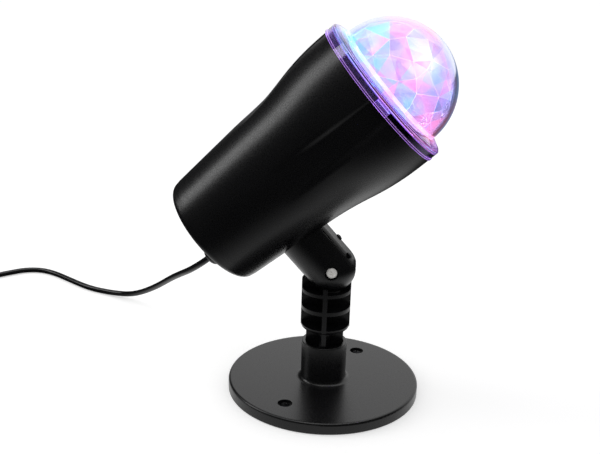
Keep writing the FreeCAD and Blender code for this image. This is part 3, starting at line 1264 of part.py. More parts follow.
def plug_body():
    """Flat moulded plug with its grooved strain relief."""
    relief = Part.makeCone(RELIEF_TIP_RADIUS, RELIEF_ROOT_RADIUS, RELIEF_LENGTH)
    step = RELIEF_LENGTH / (RELIEF_GROOVES + 1)
    for i in range(RELIEF_GROOVES):
        z = step * (i + 1) - RELIEF_GROOVE_WIDTH / 2
        inner = RELIEF_TIP_RADIUS + (RELIEF_ROOT_RADIUS - RELIEF_TIP_RADIUS) * z / RELIEF_LENGTH
        relief = relief.cut(tube(RELIEF_ROOT_RADIUS + RELIEF_GROOVE_DEPTH, inner - RELIEF_GROOVE_DEPTH,
                                 RELIEF_GROOVE_WIDTH, (0, 0, z)))
    front = RELIEF_LENGTH + PLUG_BODY_LENGTH
    body = Part.makeLoft([
        rounded_section(PLUG_REAR_WIDTH, PLUG_REAR_THICKNESS, PLUG_CORNER, RELIEF_LENGTH),
        rounded_section(PLUG_FRONT_WIDTH, PLUG_THICKNESS, PLUG_CORNER, RELIEF_LENGTH + PLUG_SHOULDER),
        rounded_section(PLUG_FRONT_WIDTH, PLUG_THICKNESS, PLUG_CORNER, front),
    ], True, True)
    body = body.fuse(relief)
    for side in (-1, 1):
        body = body.cut(cylinder(PIN_RADIUS, PIN_ROOT, (side * PIN_SPACING / 2, 0, front - PIN_ROOT)))
    return to_plug(body.removeSplitter())


def plug_pins():
    """Two round pins with domed tips."""
    root = RELIEF_LENGTH + PLUG_BODY_LENGTH - PIN_ROOT
    pins = []
    for side in (-1, 1):
        pin = cylinder(PIN_RADIUS - FIT_GAP, PIN_ROOT + PIN_LENGTH, (side * PIN_SPACING / 2, 0, root))
        pins.append(pin.makeFillet(PIN_RADIUS / 2, edges_at(pin, root + PIN_ROOT + PIN_LENGTH)))
    return to_plug(Part.makeCompound(pins))


NODES = [
    base_cover, base_weight, base_pad, base_screws, ribbed_post, post_screw,
    pivot_screw, pivot_nut, pivot_washers,
    arm_shell, arm_cover, arm_cover_screws, arm_mount_screws,
    housing, dome_cover, dome_gasket, rotor_lens, rotor_spider, motor_shaft,
    heat_sink, sink_screws, led_board, leds, led_optics, motor, motor_screws,
    driver_board, driver_screws, driver_parts, cord_gland, gland_nut, cord_entry, mains_wires,
    cord_drop, cord_floor, cord_coil, cord_tail, plug_body, plug_pins,
]


def main():
    os.makedirs("parts", exist_ok=True)
    for make in NODES:
        shape = make()
        if not shape.isValid() or not shape.Solids:
            print("not a valid solid:", make.__name__)
        shape.exportStep(os.path.join("parts", make.__name__ + ".step"))


main()
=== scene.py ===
"""Disco spotlight: the housing, gland, pivot screw, faceted dome and cord as the photograph shows them,
a finish for every piece, and the studio and camera round the lamp.

Lengths are in metres unless a name ends in _mm. The head frame has its origin on the lamp's axis
level with the pivot, z along the light and x down to the pivot, with the lamp as it stands at rest.
"""

import logging
import math
import random
from dataclasses import dataclass, field
from enum import Enum
from typing import Any

import bmesh
import bpy
from mathutils import Matrix, Vector


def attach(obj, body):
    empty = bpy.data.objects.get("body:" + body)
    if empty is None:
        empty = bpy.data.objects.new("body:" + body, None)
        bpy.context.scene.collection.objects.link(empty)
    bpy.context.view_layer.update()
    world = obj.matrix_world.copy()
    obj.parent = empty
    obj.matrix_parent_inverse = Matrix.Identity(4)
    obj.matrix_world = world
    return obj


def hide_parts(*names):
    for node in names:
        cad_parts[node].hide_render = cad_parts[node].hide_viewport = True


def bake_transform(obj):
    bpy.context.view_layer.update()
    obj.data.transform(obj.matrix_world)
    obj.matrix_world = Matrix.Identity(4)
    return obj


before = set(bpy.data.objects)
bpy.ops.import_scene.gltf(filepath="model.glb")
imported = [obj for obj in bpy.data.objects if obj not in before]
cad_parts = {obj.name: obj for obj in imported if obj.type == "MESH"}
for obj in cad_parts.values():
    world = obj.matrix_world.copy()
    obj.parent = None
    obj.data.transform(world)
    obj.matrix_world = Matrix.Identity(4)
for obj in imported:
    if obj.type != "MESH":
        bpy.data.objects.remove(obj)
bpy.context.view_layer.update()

log = logging.getLogger("spotlight")

MM = 0.001
WELD = 1e-6
SHARP_ANGLE = math.radians(28)
# Numbers of the colour sockets of a mix node
MIX_FACTOR, MIX_FIRST, MIX_SECOND = 0, 6, 7
# Range that holds nearly all of a noise pattern
NOISE_LOW, NOISE_HIGH = 0.3, 0.7
WHITE = "#ffffff"
Colour = tuple[float, float, float, float]
Place = tuple[float, float, float]
Tree = bpy.types.NodeTree


def linear(code: str) -> Colour:
    """Turn a colour as written into the linear light that shaders take.

    Args:
        code: Six hex digits of sRGB after a #.

    Returns:
        Red, green and blue in linear light, and a full alpha.
    """

    def channel(pair: str) -> float:
        """Linear value of two hex digits."""
        value = int(pair, 16) / 255
        return value / 12.92 if value <= 0.04045 else ((value + 0.055) / 1.055) ** 2.4

    return channel(code[1:3]), channel(code[3:5]), channel(code[5:7]), 1.0


def add_node(tree: Tree, kind: str, inputs: dict | list | None = None, **settings: Any) -> Any:
    """Add one shader node.

    Args:
        tree: Node tree that takes the node.
        kind: Blender's name of the node type, without the ShaderNode that all begin with.
        inputs: What feeds the sockets, in their order or by name or number. It is a value, an output, or a
            node, which stands for its first output in use.
        **settings: Attributes of the node itself.

    Returns:
        The new node.
    """
    node = tree.nodes.new("ShaderNode" + kind)
    for name, value in settings.items():
        setattr(node, name, value)
    by_socket = dict(enumerate(inputs)) if isinstance(inputs, list) else inputs or {}
    for key, value in by_socket.items():
        if isinstance(value, bpy.types.Node):
            value = next(output for output in value.outputs if output.enabled)
        if isinstance(value, bpy.types.NodeSocket):
            tree.links.new(value, node.inputs[key])
        else:
            node.inputs[key].default_value = value
    return node


def per_metre(size_mm: float) -> float:
    """Pattern scale that repeats once in a real size."""
    return 1 / (size_mm * MM)


@dataclass(frozen=True)
class HeadFrame:
    """The tilted head's own axes, as they stand at rest."""

    pivot_mm: Place = (3.5, 0.0, 90.0)
    tilt: float = math.radians(42.4)
    axis_offset_mm: float = 68.5

    @property
    def forward(self) -> Vector:
        """Direction of the light."""
        return Vector((math.cos(self.tilt), 0, math.sin(self.tilt)))

    @property
    def upward(self) -> Vector:
        """Direction from the pivot to the lamp's axis."""
        return Vector((-math.sin(self.tilt), 0, math.cos(self.tilt)))

    def point(self, x_mm: float, y_mm: float, z_mm: float) -> Vector:
        """Place of a point of the head frame.

        Args:
            x_mm: Distance down from the lamp's axis.
            y_mm: Distance to the side.
            z_mm: Distance along the light.

        Returns:
            The point in metres.
        """
        place = Vector(self.pivot_mm) + self.upward * (self.axis_offset_mm - x_mm) + self.forward * z_mm
        return (place + Vector((0, y_mm, 0))) * MM


HEAD = HeadFrame()


def reach_along(tree: Tree, place: Any, origin: Vector, axis: Vector) -> Any:
    """Measure a surface point along an axis.

    Args:
        tree: Node tree that takes the nodes.
        place: Output that holds the point.
        origin: Where the measure is zero.
        axis: Unit direction of the measure.

    Returns:
        Node that gives the distance in metres.
    """
    from_origin = add_node(tree, "VectorMath", [place, origin], operation="SUBTRACT")
    return add_node(tree, "VectorMath", [from_origin, axis], operation="DOT_PRODUCT")


def edge_likeness(tree: Tree, reach_mm: float) -> Any:
    """Compare a point's own facing with the facing round it.

    Args:
        tree: Node tree that takes the nodes.
        reach_mm: How far round the point.

    Returns:
        Node that gives 1 on a flat, and less near an edge.
    """
    facing = add_node(tree, "NewGeometry").outputs["True Normal"]
    rounded = add_node(tree, "Bevel", {"Radius": reach_mm * MM})
    return add_node(tree, "VectorMath", [rounded, facing], operation="DOT_PRODUCT")


@dataclass(frozen=True)
class PaintedChipLight:
    """Painted light of the coloured chips, spread over the dome from the upper rear to the lower front, for
    the tint and the painted glow of the clear parts.
    """

    colours: tuple[str, ...] = ("#66ecf2", "#9ad2ff", "#b4c4ff", "#ffb4de", "#ff9cc8", "#aecbff")
    stops: tuple[float, ...] = (0.04, 0.24, 0.42, 0.6, 0.8, 0.97)
    forward_share: float = 0.82
    upward_share: float = -0.57
    centre_mm: float = 103.8
    reach_mm: float = 40.0
    cloud_mm: float = 26.0
    cloud_share: float = 0.36

    def colour(self, tree: Tree, place: Any, shift: Any = 0.0) -> Any:
        """Colour of the painted chip light at a place.

        Args:
            tree: Node tree that takes the nodes.
            place: Output that holds the point.
            shift: Number or node that moves the colour along the spread.

        Returns:
            Node that gives the colour.
        """
        across = (HEAD.forward * self.forward_share + HEAD.upward * self.upward_share).normalized()
        swept = reach_along(tree, place, HEAD.point(0, 0, self.centre_mm), across)
        reach, half = self.reach_mm * MM, self.cloud_share / 2
        by_place = add_node(tree, "MapRange", [swept, -reach, reach])
        pattern = {"Vector": place, "Scale": per_metre(self.cloud_mm), "Detail": 1.0}
        cloud = add_node(tree, "TexNoise", pattern)
        by_cloud = add_node(tree, "MapRange", [cloud, NOISE_LOW, NOISE_HIGH, -half, half])
        both = add_node(tree, "Math", [by_place, by_cloud], operation="ADD")
        node = add_node(tree, "ValToRGB", [add_node(tree, "Math", [both, shift], operation="ADD")])
        elements = node.color_ramp.elements
        while len(elements) < len(self.colours):
            elements.new(1.0)
        for element, stop, code in zip(elements, self.stops, self.colours):
            element.position = stop
            element.color = linear(code)
        return node


# The painted chip light that the cover and the faceted dome share
PAINTED_CHIP_LIGHT = PaintedChipLight()


# Finishes

@dataclass(frozen=True)
class Finish:
    """A named surface that builds its own material."""

    name: str

    def shade(self, tree: Tree) -> Any:
        """Build the surface's nodes and return the shader."""
        raise NotImplementedError

    def relief(self, tree: Tree, height: Any, depth_mm: float, edge_mm: float = 0.0) -> Any:
        """Raise the surface by a pattern, over edges that are a little round.

        Args:
            tree: Node tree that takes the nodes.
            height: Node or output of the pattern.
            depth_mm: Depth of the pattern.
            edge_mm: Radius of the edges, or 0 to leave them.

        Returns:
            Node that gives the normal.
        """
        inputs = {"Height": height, "Distance": depth_mm * MM}
        if edge_mm:
            inputs["Normal"] = add_node(tree, "Bevel", {"Radius": edge_mm * MM})
        return add_node(tree, "Bump", inputs)

    def material(self) -> bpy.types.Material:
        """Make this finish's material when it is first asked for.

        Returns:
            The material.
        """
        made = bpy.data.materials.get(self.name)
        if made:
            return made
        made = bpy.data.materials.new(self.name)
        made.use_nodes = True
        made.node_tree.nodes.clear()
        add_node(made.node_tree, "OutputMaterial", [self.shade(made.node_tree)])
        return made


@dataclass(frozen=True)
class MouldedPlastic(Finish):
    """Opaque plastic from a steel mould, with the mould's fine texture and a softly rounded edge."""

    colour: str
    flow_colour: str
    roughness: float
    roughness_swing: float
    grain_mm: float
    grain_depth_mm: float
    edge_mm: float = 0.35
    flow_mm: float = 28.0
    ior: float = 1.53

    def shade(self, tree: Tree) -> Any:
        """Build a dielectric with a grained bump, uneven gloss and a slow drift of tone.

        Args:
            tree: Node tree that takes the nodes.

        Returns:
            The shader.
        """
        place = add_node(tree, "TexCoord").outputs["Object"]
        grain = add_node(tree, "TexNoise", {"Vector": place, "Scale": per_metre(self.grain_mm)})
        flow = add_node(tree, "TexNoise", {"Vector": place, "Scale": per_metre(self.flow_mm), "Detail": 1.0})
        tones = {MIX_FACTOR: flow, MIX_FIRST: linear(self.colour), MIX_SECOND: linear(self.flow_colour)}
        low, high = self.roughness - self.roughness_swing, self.roughness + self.roughness_swing
        surface = {
            "Base Color": add_node(tree, "Mix", tones, data_type="RGBA"),
            "Roughness": add_node(tree, "MapRange", [grain, NOISE_LOW, NOISE_HIGH, low, high]),
            "IOR": self.ior,
            "Normal": self.relief(tree, grain, self.grain_depth_mm, self.edge_mm),
        }
        return add_node(tree, "BsdfPrincipled", surface)


class Working(Enum):
    """How a metal's surface was made: stretch of its marks along z, and their depth as a share."""

    PLATED = (1.0, 0.4)
    BLACKENED = (1.0, 1.0)
    MILLED = (14.0, 1.0)
    DRAWN = (5.0, 0.7)


@dataclass(frozen=True)
class Metal(Finish):
    """Bare, plated or blackened metal with the marks of its working."""

    colour: str
    worn_colour: str
    roughness: float
    marks_mm: float
    marks_depth_mm: float
    working: Working
    edge_mm: float = 0.15
    metallic: float = 1.0
    smooth_share: float = 0.8
    rough_share: float = 1.3

    def shade(self, tree: Tree) -> Any:
        """Build a conductor with fine marks in its tone, gloss and relief.

        Args:
            tree: Node tree that takes the nodes.

        Returns:
            The shader.
        """
        stretch, depth_share = self.working.value
        place = add_node(tree, "TexCoord").outputs["Object"]
        drawn = add_node(tree, "Mapping", {"Vector": place, "Scale": (1.0, 1.0, 1 / stretch)})
        pattern = {"Vector": drawn, "Scale": per_metre(self.marks_mm), "Detail": 3.0}
        marks = add_node(tree, "TexNoise", pattern)
        tones = {MIX_FACTOR: marks, MIX_FIRST: linear(self.colour), MIX_SECOND: linear(self.worn_colour)}
        low, high = self.roughness * self.smooth_share, self.roughness * self.rough_share
        surface = {
            "Base Color": add_node(tree, "Mix", tones, data_type="RGBA"),
            "Metallic": self.metallic,
            "Roughness": add_node(tree, "MapRange", [marks, NOISE_LOW, NOISE_HIGH, low, high]),
            "Normal": self.relief(tree, marks, self.marks_depth_mm * depth_share, self.edge_mm),
        }
        return add_node(tree, "BsdfPrincipled", surface)


@dataclass(frozen=True)
class TintedClear(Finish):
    """Clear violet polycarbonate with a painted glow of the chips' light along its edges and at the foot of
    its dome, and a share of the painted chip light in the tint of its dome.
    """

    dome_colour: str
    rim_colour: str
    painted_edge_glow: str
    painted_edge_strength: float
    painted_dome_strength: float
    painted_foot_strength: float
    painted_chip_light_share: float = 0.3
    limb_start: float = 0.66
    painted_limb_strength: float = 0.42
    roughness: float = 0.02
    roughness_swing: float = 0.01
    ior: float = 1.58
    rim_top_mm: float = 103.2
    rim_blend_mm: float = 1.0
    foot_mm: float = 104.6
    foot_width_mm: float = 1.6
    edge_mm: float = 0.45
    edge_starts: float = 0.995
    edge_full: float = 0.93
    ripple_mm: float = 9.0
    ripple_depth_mm: float = 0.012

    def shade(self, tree: Tree) -> Any:
        """Build glass that is paler over the dome, deeper at the rim, tinted in part by the painted chip
        light, with a painted glow along its edges and foot and where it is seen edge-on.

        Args:
            tree: Node tree that takes the nodes.

        Returns:
            The shader.
        """
        place = add_node(tree, "TexCoord").outputs["Object"]
        height = reach_along(tree, place, HEAD.point(0, 0, 0), HEAD.forward)
        top, bottom = (self.rim_top_mm + self.rim_blend_mm) * MM, (self.rim_top_mm - self.rim_blend_mm) * MM
        rim = add_node(tree, "MapRange", [height, top, bottom])
        dome = add_node(tree, "MapRange", [rim, 1.0, 0.0])
        # Painted chip light: a share of it goes into the dome's tint, and it colours the painted glow
        spread = PAINTED_CHIP_LIGHT.colour(tree, place)
        tints = {MIX_FACTOR: self.painted_chip_light_share, MIX_FIRST: linear(self.dome_colour), MIX_SECOND: spread}
        over_dome = add_node(tree, "Mix", tints, data_type="RGBA")
        tints = {MIX_FACTOR: rim, MIX_FIRST: over_dome, MIX_SECOND: linear(self.rim_colour)}
        # Slow sink marks of a moulded clear part, which bend what is seen through it a little
        pattern = {"Vector": place, "Scale": per_metre(self.ripple_mm), "Detail": 1.0}
        ripple = add_node(tree, "TexNoise", pattern)
        # Painted glow along the rim's edges and in a band at the foot of the dome
        likeness = edge_likeness(tree, self.edge_mm)
        ends = [likeness, self.edge_starts, self.edge_full, 0.0, self.painted_edge_strength]
        edge = add_node(tree, "MapRange", ends)
        painted_rim_glow = add_node(tree, "Math", [edge, rim], operation="MULTIPLY")
        band = [height, self.foot_mm * MM, self.foot_width_mm * MM]
        foot = add_node(tree, "Math", band, operation="COMPARE")
        painted_foot_glow = add_node(tree, "Math", [foot, self.painted_foot_strength], operation="MULTIPLY")
        # Painted glow where the shell is seen edge-on, in place of the light that the shell guides out there
        seen = add_node(tree, "LayerWeight").outputs["Facing"]
        limb = [seen, self.limb_start, 1.0, self.painted_dome_strength, self.painted_limb_strength]
        level = add_node(tree, "MapRange", limb)
        painted_dome_glow = add_node(tree, "Math", [dome, level], operation="MULTIPLY")
        lit = add_node(tree, "Math", [painted_rim_glow, painted_foot_glow], operation="ADD")
        glow = {MIX_FACTOR: rim, MIX_FIRST: spread, MIX_SECOND: linear(self.painted_edge_glow)}
        low, high = self.roughness - self.roughness_swing, self.roughness + self.roughness_swing
        surface = {
            "Base Color": add_node(tree, "Mix", tints, data_type="RGBA"),
            "Roughness": add_node(tree, "MapRange", [ripple, 0.0, 1.0, low, high]),
            "IOR": self.ior,
            "Transmission Weight": 1.0,
            "Emission Color": add_node(tree, "Mix", glow, data_type="RGBA"),
            "Emission Strength": add_node(tree, "Math", [lit, painted_dome_glow], operation="ADD"),
            "Normal": self.relief(tree, ripple, self.ripple_depth_mm),
        }
        return add_node(tree, "BsdfPrincipled", surface)


@dataclass(frozen=True)
class FacetsWithPaintedGlow(Finish):
    """Clear acrylic cut in flat facets, tinted by the painted chip light and given a painted glow in the
    chips' colours, with painted highlights where facets meet and a painted hot spot.
    """

    painted_light_tint_share: float
    strength: float
    spread: float
    facet_share: float = 0.6
    # Patterns of the painted glow's colour and brightness over the facets' directions, not over their places,
    # so that a flat facet takes one value
    facet_scale: float = 6.5
    bright_scale: float = 11.05
    transmission: float = 0.72
    roughness: float = 0.03
    ior: float = 1.49
    edge_mm: float = 0.5
    edge_starts: float = 0.999
    edge_full: float = 0.985
    painted_edge_strength: float = 1.1
    painted_hot_spot_way: Place = (0.47, -0.717, 0.505)
    painted_hot_spot_distance_mm: float = 38.0
    painted_hot_spot_reach_mm: float = 15.0
    painted_hot_spot_strength: float = 0.7
    painted_hot_spot_colour: str = "#d8f9ff"
    painted_hot_spot_share: float = 0.75

    def shade(self, tree: Tree) -> Any:
        """Build glass tinted by the painted chip light, with a painted glow whose colour goes by place over
        the dome and by facet.

        Args:
            tree: Node tree that takes the nodes.

        Returns:
            The shader.
        """
        place = add_node(tree, "TexCoord").outputs["Object"]
        normal = add_node(tree, "NewGeometry").outputs["True Normal"]
        turned = {"vector_type": "NORMAL", "convert_from": "WORLD", "convert_to": "OBJECT"}
        facing = add_node(tree, "VectorTransform", [normal], **turned)
        facet = add_node(tree, "TexNoise", {"Vector": facing, "Scale": self.facet_scale, "Detail": 0.0})
        share = self.facet_share
        shift = add_node(tree, "MapRange", [facet, NOISE_LOW, NOISE_HIGH, -share, share])
        colour = PAINTED_CHIP_LIGHT.colour(tree, place, shift)
        # Painted glow brightness that differs from facet to facet
        bright = add_node(tree, "TexNoise", {"Vector": facing, "Scale": self.bright_scale, "Detail": 0.0})
        low, high = self.strength * (1 - self.spread), self.strength * (1 + self.spread)
        level = add_node(tree, "MapRange", [bright, NOISE_LOW, NOISE_HIGH, low, high])
        # Painted highlights where two facets meet, and a painted hot spot in the middle of the beam
        likeness = edge_likeness(tree, self.edge_mm)
        ends = [likeness, self.edge_starts, self.edge_full, 0.0, self.painted_edge_strength]
        edge = add_node(tree, "MapRange", ends)
        painted_hot_spot_place = HEAD.point(0, 0, PAINTED_CHIP_LIGHT.centre_mm) + Vector(self.painted_hot_spot_way) * self.painted_hot_spot_distance_mm * MM
        away = add_node(tree, "VectorMath", [place, painted_hot_spot_place], operation="DISTANCE")
        painted_hot_spot = add_node(tree, "MapRange", [away, 0.0, self.painted_hot_spot_reach_mm * MM, self.painted_hot_spot_strength, 0.0])
        lit = add_node(tree, "Math", [level, edge], operation="ADD")
        strength = add_node(tree, "Math", [lit, painted_hot_spot], operation="ADD")
        # Where the painted glow is strongest, its colour pales towards the painted hot spot's colour
        pale = add_node(tree, "MapRange", [strength, high, high + self.painted_hot_spot_strength, 0.0, self.painted_hot_spot_share])
        tints = {MIX_FACTOR: self.painted_light_tint_share, MIX_FIRST: linear(WHITE), MIX_SECOND: colour}
        glow = {MIX_FACTOR: pale, MIX_FIRST: colour, MIX_SECOND: linear(self.painted_hot_spot_colour)}
        surface = {
            "Base Color": add_node(tree, "Mix", tints, data_type="RGBA"),
            "Roughness": self.roughness,
            "IOR": self.ior,
            "Transmission Weight": self.transmission,
            "Emission Color": add_node(tree, "Mix", glow, data_type="RGBA"),
            "Emission Strength": strength,
        }
        return add_node(tree, "BsdfPrincipled", surface)


@dataclass(frozen=True)
class Clear(Finish):
    """Polished clear acrylic."""

    colour: str
    ior: float = 1.49
    roughest: float = 0.04
    swirl_mm: float = 6.0

    def shade(self, tree: Tree) -> Any:
        """Build glass with the faint swirl of its polish.

        Args:
            tree: Node tree that takes the nodes.

        Returns:
            The shader.
        """
        place = add_node(tree, "TexCoord").outputs["Object"]
        swirl = add_node(tree, "TexNoise", {"Vector": place, "Scale": per_metre(self.swirl_mm)})
        surface = {
            "Base Color": linear(self.colour),
            "Roughness": add_node(tree, "MapRange", [swirl, 0.0, 1.0, 0.0, self.roughest]),
            "IOR": self.ior,
            "Transmission Weight": 1.0,
        }
        return add_node(tree, "BsdfPrincipled", surface)


@dataclass(frozen=True)
class LitChips(Finish):
    """Four light-emitting chips: each glows in its own colour from the window in its pale body."""

    colours: tuple[str, str, str, str]
    body_colour: str
    strength: float
    window_z_mm: float = 75.9
    window_blend_mm: float = 0.2
    roughness: float = 0.5
    grain_mm: float = 0.5
    grain_depth_mm: float = 0.02

    def shade(self, tree: Tree) -> Any:
        """Build a matt body whose front lights up in the colour of its quarter of the board.

        Args:
            tree: Node tree that takes the nodes.

        Returns:
            The shader.
        """
        place = add_node(tree, "TexCoord").outputs["Object"]
        centre = HEAD.point(0, 0, 0)
        sideways = reach_along(tree, place, centre, Vector((0, 1, 0)))
        side = add_node(tree, "Math", [sideways, 0.0], operation="GREATER_THAN")
        upward = reach_along(tree, place, centre, HEAD.upward)
        top = add_node(tree, "Math", [upward, 0.0], operation="GREATER_THAN")
        rows = []
        for first, second in (self.colours[:2], self.colours[2:]):
            pair = {MIX_FACTOR: side, MIX_FIRST: linear(first), MIX_SECOND: linear(second)}
            rows.append(add_node(tree, "Mix", pair, data_type="RGBA"))
        pair = {MIX_FACTOR: top, MIX_FIRST: rows[0], MIX_SECOND: rows[1]}
        height = reach_along(tree, place, centre, HEAD.forward)
        low, high = self.window_z_mm * MM, (self.window_z_mm + self.window_blend_mm) * MM
        grain = add_node(tree, "TexNoise", {"Vector": place, "Scale": per_metre(self.grain_mm)})
        surface = {
            "Base Color": linear(self.body_colour),
            "Roughness": self.roughness,
            "Emission Color": add_node(tree, "Mix", pair, data_type="RGBA"),
            "Emission Strength": add_node(tree, "MapRange", [height, low, high, 0.0, self.strength]),
            "Normal": self.relief(tree, grain, self.grain_depth_mm),
        }
        return add_node(tree, "BsdfPrincipled", surface)


@dataclass(frozen=True)
class Board(Finish):
    """Circuit board under its lacquer, with tracks that show through it."""

    lacquer: str
    track: str
    pitch_mm: float = 2.4
    randomness: float = 0.4
    track_start: float = 0.62
    track_full: float = 0.68
    track_height_mm: float = 0.035
    roughness: float = 0.35

    def shade(self, tree: Tree) -> Any:
        """Build lacquer over a net of tracks that stand slightly proud.

        Args:
            tree: Node tree that takes the nodes.

        Returns:
            The shader.
        """
        place = add_node(tree, "TexCoord").outputs["Object"]
        pattern = {"Vector": place, "Scale": per_metre(self.pitch_mm), "Randomness": self.randomness}
        net = add_node(tree, "TexVoronoi", pattern, distance="MANHATTAN")
        on_track = add_node(tree, "MapRange", [net, self.track_start, self.track_full])
        tones = {MIX_FACTOR: on_track, MIX_FIRST: linear(self.lacquer), MIX_SECOND: linear(self.track)}
        surface = {
            "Base Color": add_node(tree, "Mix", tones, data_type="RGBA"),
            "Roughness": self.roughness,
            "Normal": self.relief(tree, on_track, self.track_height_mm),
        }
        return add_node(tree, "BsdfPrincipled", surface)


@dataclass(frozen=True)
class SplitColour(Finish):
    """Pieces of one node that differ in colour, told apart by their place along an axis of the head."""

    colours: tuple[str, ...]
    borders_mm: tuple[float, ...]
    sideways: bool
    roughness: float
    grain_mm: float = 0.9
    grain_depth_mm: float = 0.03

    def shade(self, tree: Tree) -> Any:
        """Build a dielectric whose colour steps at each border.

        Args:
            tree: Node tree that takes the nodes.

        Returns:
            The shader.
        """
        place = add_node(tree, "TexCoord").outputs["Object"]
        axis = Vector((0, 1, 0)) if self.sideways else -HEAD.upward
        reach = reach_along(tree, place, HEAD.point(0, 0, 0), axis)
        tone: Any = linear(self.colours[0])
        for colour, border_mm in zip(self.colours[1:], self.borders_mm):
            past = add_node(tree, "Math", [reach, border_mm * MM], operation="GREATER_THAN")
            step = {MIX_FACTOR: past, MIX_FIRST: tone, MIX_SECOND: linear(colour)}
            tone = add_node(tree, "Mix", step, data_type="RGBA")
        grain = add_node(tree, "TexNoise", {"Vector": place, "Scale": per_metre(self.grain_mm)})
        surface = {
            "Base Color": tone,
            "Roughness": self.roughness,
            "Normal": self.relief(tree, grain, self.grain_depth_mm),
        }
        return add_node(tree, "BsdfPrincipled", surface)


# The grain and the marks of these surfaces are about 0.1 mm, too fine to show in the render. They are
# drawn at about 1 mm so that they do.

# ABS in a spark-eroded mould: deep black with a soft, slightly grainy sheen.
HOUSING_ABS = MouldedPlastic(
    "black_abs_satin", colour="#08080a", flow_colour="#0b0b0d", roughness=0.3,
    roughness_swing=0.06, grain_mm=0.8, grain_depth_mm=0.016,
)
# The arm and the post come from a smoother mould and carry a clearer sheen.
ARM_ABS = MouldedPlastic(
    "black_abs_smooth", colour="#08080a", flow_colour="#0b0b0d", roughness=0.29,
    roughness_swing=0.04, grain_mm=0.9, grain_depth_mm=0.006,
)
# The base has the housing's texture, a little shallower, in a slightly greyer black.
BASE_ABS = MouldedPlastic(
    "black_abs_base", colour="#09090a", flow_colour="#0c0c0e", roughness=0.3,
    roughness_swing=0.05, grain_mm=0.8, grain_depth_mm=0.012,
)
# Nylon takes a slightly waxy, duller surface.
GLAND_NYLON = MouldedPlastic(
    "black_nylon", colour="#0b0b0c", flow_colour="#0f0f10", roughness=0.4, roughness_swing=0.05,
    grain_mm=0.9, grain_depth_mm=0.01,
)
# Soft PVC extruded over the wires: smooth, with a clear line of light along its top.
CORD_PVC = MouldedPlastic(
    "black_pvc_jacket", colour="#08080a", flow_colour="#0c0c0e", roughness=0.24,
    roughness_swing=0.05, grain_mm=1.4, grain_depth_mm=0.01, edge_mm=0.1,
)
# The plug's PVC is injection moulded, so it is duller than the jacket and its edges are rounder.
PLUG_PVC = MouldedPlastic(
    "black_pvc_plug", colour="#0c0c0d", flow_colour="#111112", roughness=0.4,
    roughness_swing=0.05, grain_mm=0.9, grain_depth_mm=0.01, edge_mm=0.5,
)
# Rubber with the cloth-like texture of its press, matt and slightly grey.
PAD_RUBBER = MouldedPlastic(
    "grey_rubber_pad", colour="#19191a", flow_colour="#222223", roughness=0.78,
    roughness_swing=0.08, grain_mm=1.2, grain_depth_mm=0.06,
)
# Silicone: soft, milky and matt.
SEAL_SILICONE = MouldedPlastic(
    "milky_silicone", colour="#c9c9cc", flow_colour="#d9d9dc", roughness=0.55,
    roughness_swing=0.05, grain_mm=1.5, grain_depth_mm=0.02, ior=1.41,
)
# White acetal turns quietly on the shaft and has a waxy sheen.
SPIDER_ACETAL = MouldedPlastic(
    "white_acetal", colour="#e6e6e4", flow_colour="#efefec", roughness=0.4,
    roughness_swing=0.05, grain_mm=1.0, grain_depth_mm=0.01, ior=1.48,
)
# Nickel-plated steel: bright, with a haze from the plating that scatters part of the light.
NICKEL_STEEL = Metal(
    "nickel_plated_steel", colour="#eceae6", worn_colour="#f6f4f0", roughness=0.36,
    marks_mm=0.7, marks_depth_mm=0.004, working=Working.PLATED, metallic=0.35,
)
# Black oxide on steel: dark, oily and half dull.
BLACK_STEEL = Metal(
    "black_oxide_steel", colour="#1b1b1d", worn_colour="#28282b", roughness=0.34, marks_mm=0.6,
    marks_depth_mm=0.006, working=Working.BLACKENED,
)
# Zinc-plated steel: a cool mid grey, darker than nickel.
ZINC_STEEL = Metal(
    "zinc_plated_steel", colour="#a9abae", worn_colour="#bcbec2", roughness=0.3, marks_mm=0.9,
    marks_depth_mm=0.006, working=Working.PLATED,
)
# Mild steel plate as rolled and zinc coated.
PLATE_STEEL = Metal(
    "rolled_steel_plate", colour="#8e9093", worn_colour="#a2a4a7", roughness=0.38, marks_mm=1.6,
    marks_depth_mm=0.01, working=Working.MILLED,
)
# Extruded and milled aluminium, unpolished.
MILLED_ALUMINIUM = Metal(
    "milled_aluminium", colour="#c4c6c9", worn_colour="#d6d8db", roughness=0.32, marks_mm=0.9,
    marks_depth_mm=0.008, working=Working.MILLED,
)
# Drawn can of the motor, tin plated.
DRAWN_CAN = Metal(
    "drawn_steel_can", colour="#b3b5b8", worn_colour="#c6c8cb", roughness=0.26, marks_mm=1.2,
    marks_depth_mm=0.006, working=Working.DRAWN,
)
# Violet polycarbonate, polished in its mould: almost clear over the dome, deep lilac where the rim is thick,
# with a painted glow on its edges and foot in place of the light that it guides, and painted chip light in
# its tint.
VIOLET_CLEAR = TintedClear(
    "violet_polycarbonate", dome_colour="#f6ecff", rim_colour="#b79cf0", painted_edge_glow="#c794f4",
    painted_edge_strength=0.95, painted_dome_strength=0.04, painted_foot_strength=0.34,
)
# Acrylic moulded in flat facets: glassy panes tinted and given a painted glow in the chips' colours, with
# painted highlights between them.
LENS_ACRYLIC = FacetsWithPaintedGlow(
    "faceted_acrylic", painted_light_tint_share=0.4, strength=0.34, spread=0.75,
)
# Moulded acrylic optics: water clear with a faint swirl.
CLEAR_ACRYLIC = Clear("clear_acrylic", colour="#f7f7fb")
# Ceramic bodies, pale and matt, with a lit window in front.
CHIPS = LitChips(
    "lit_chips", colours=("#ff4fb4", "#5a6bff", "#39d7ff", "#ff7fd0"), body_colour="#e9e6dc", strength=6.0,
)
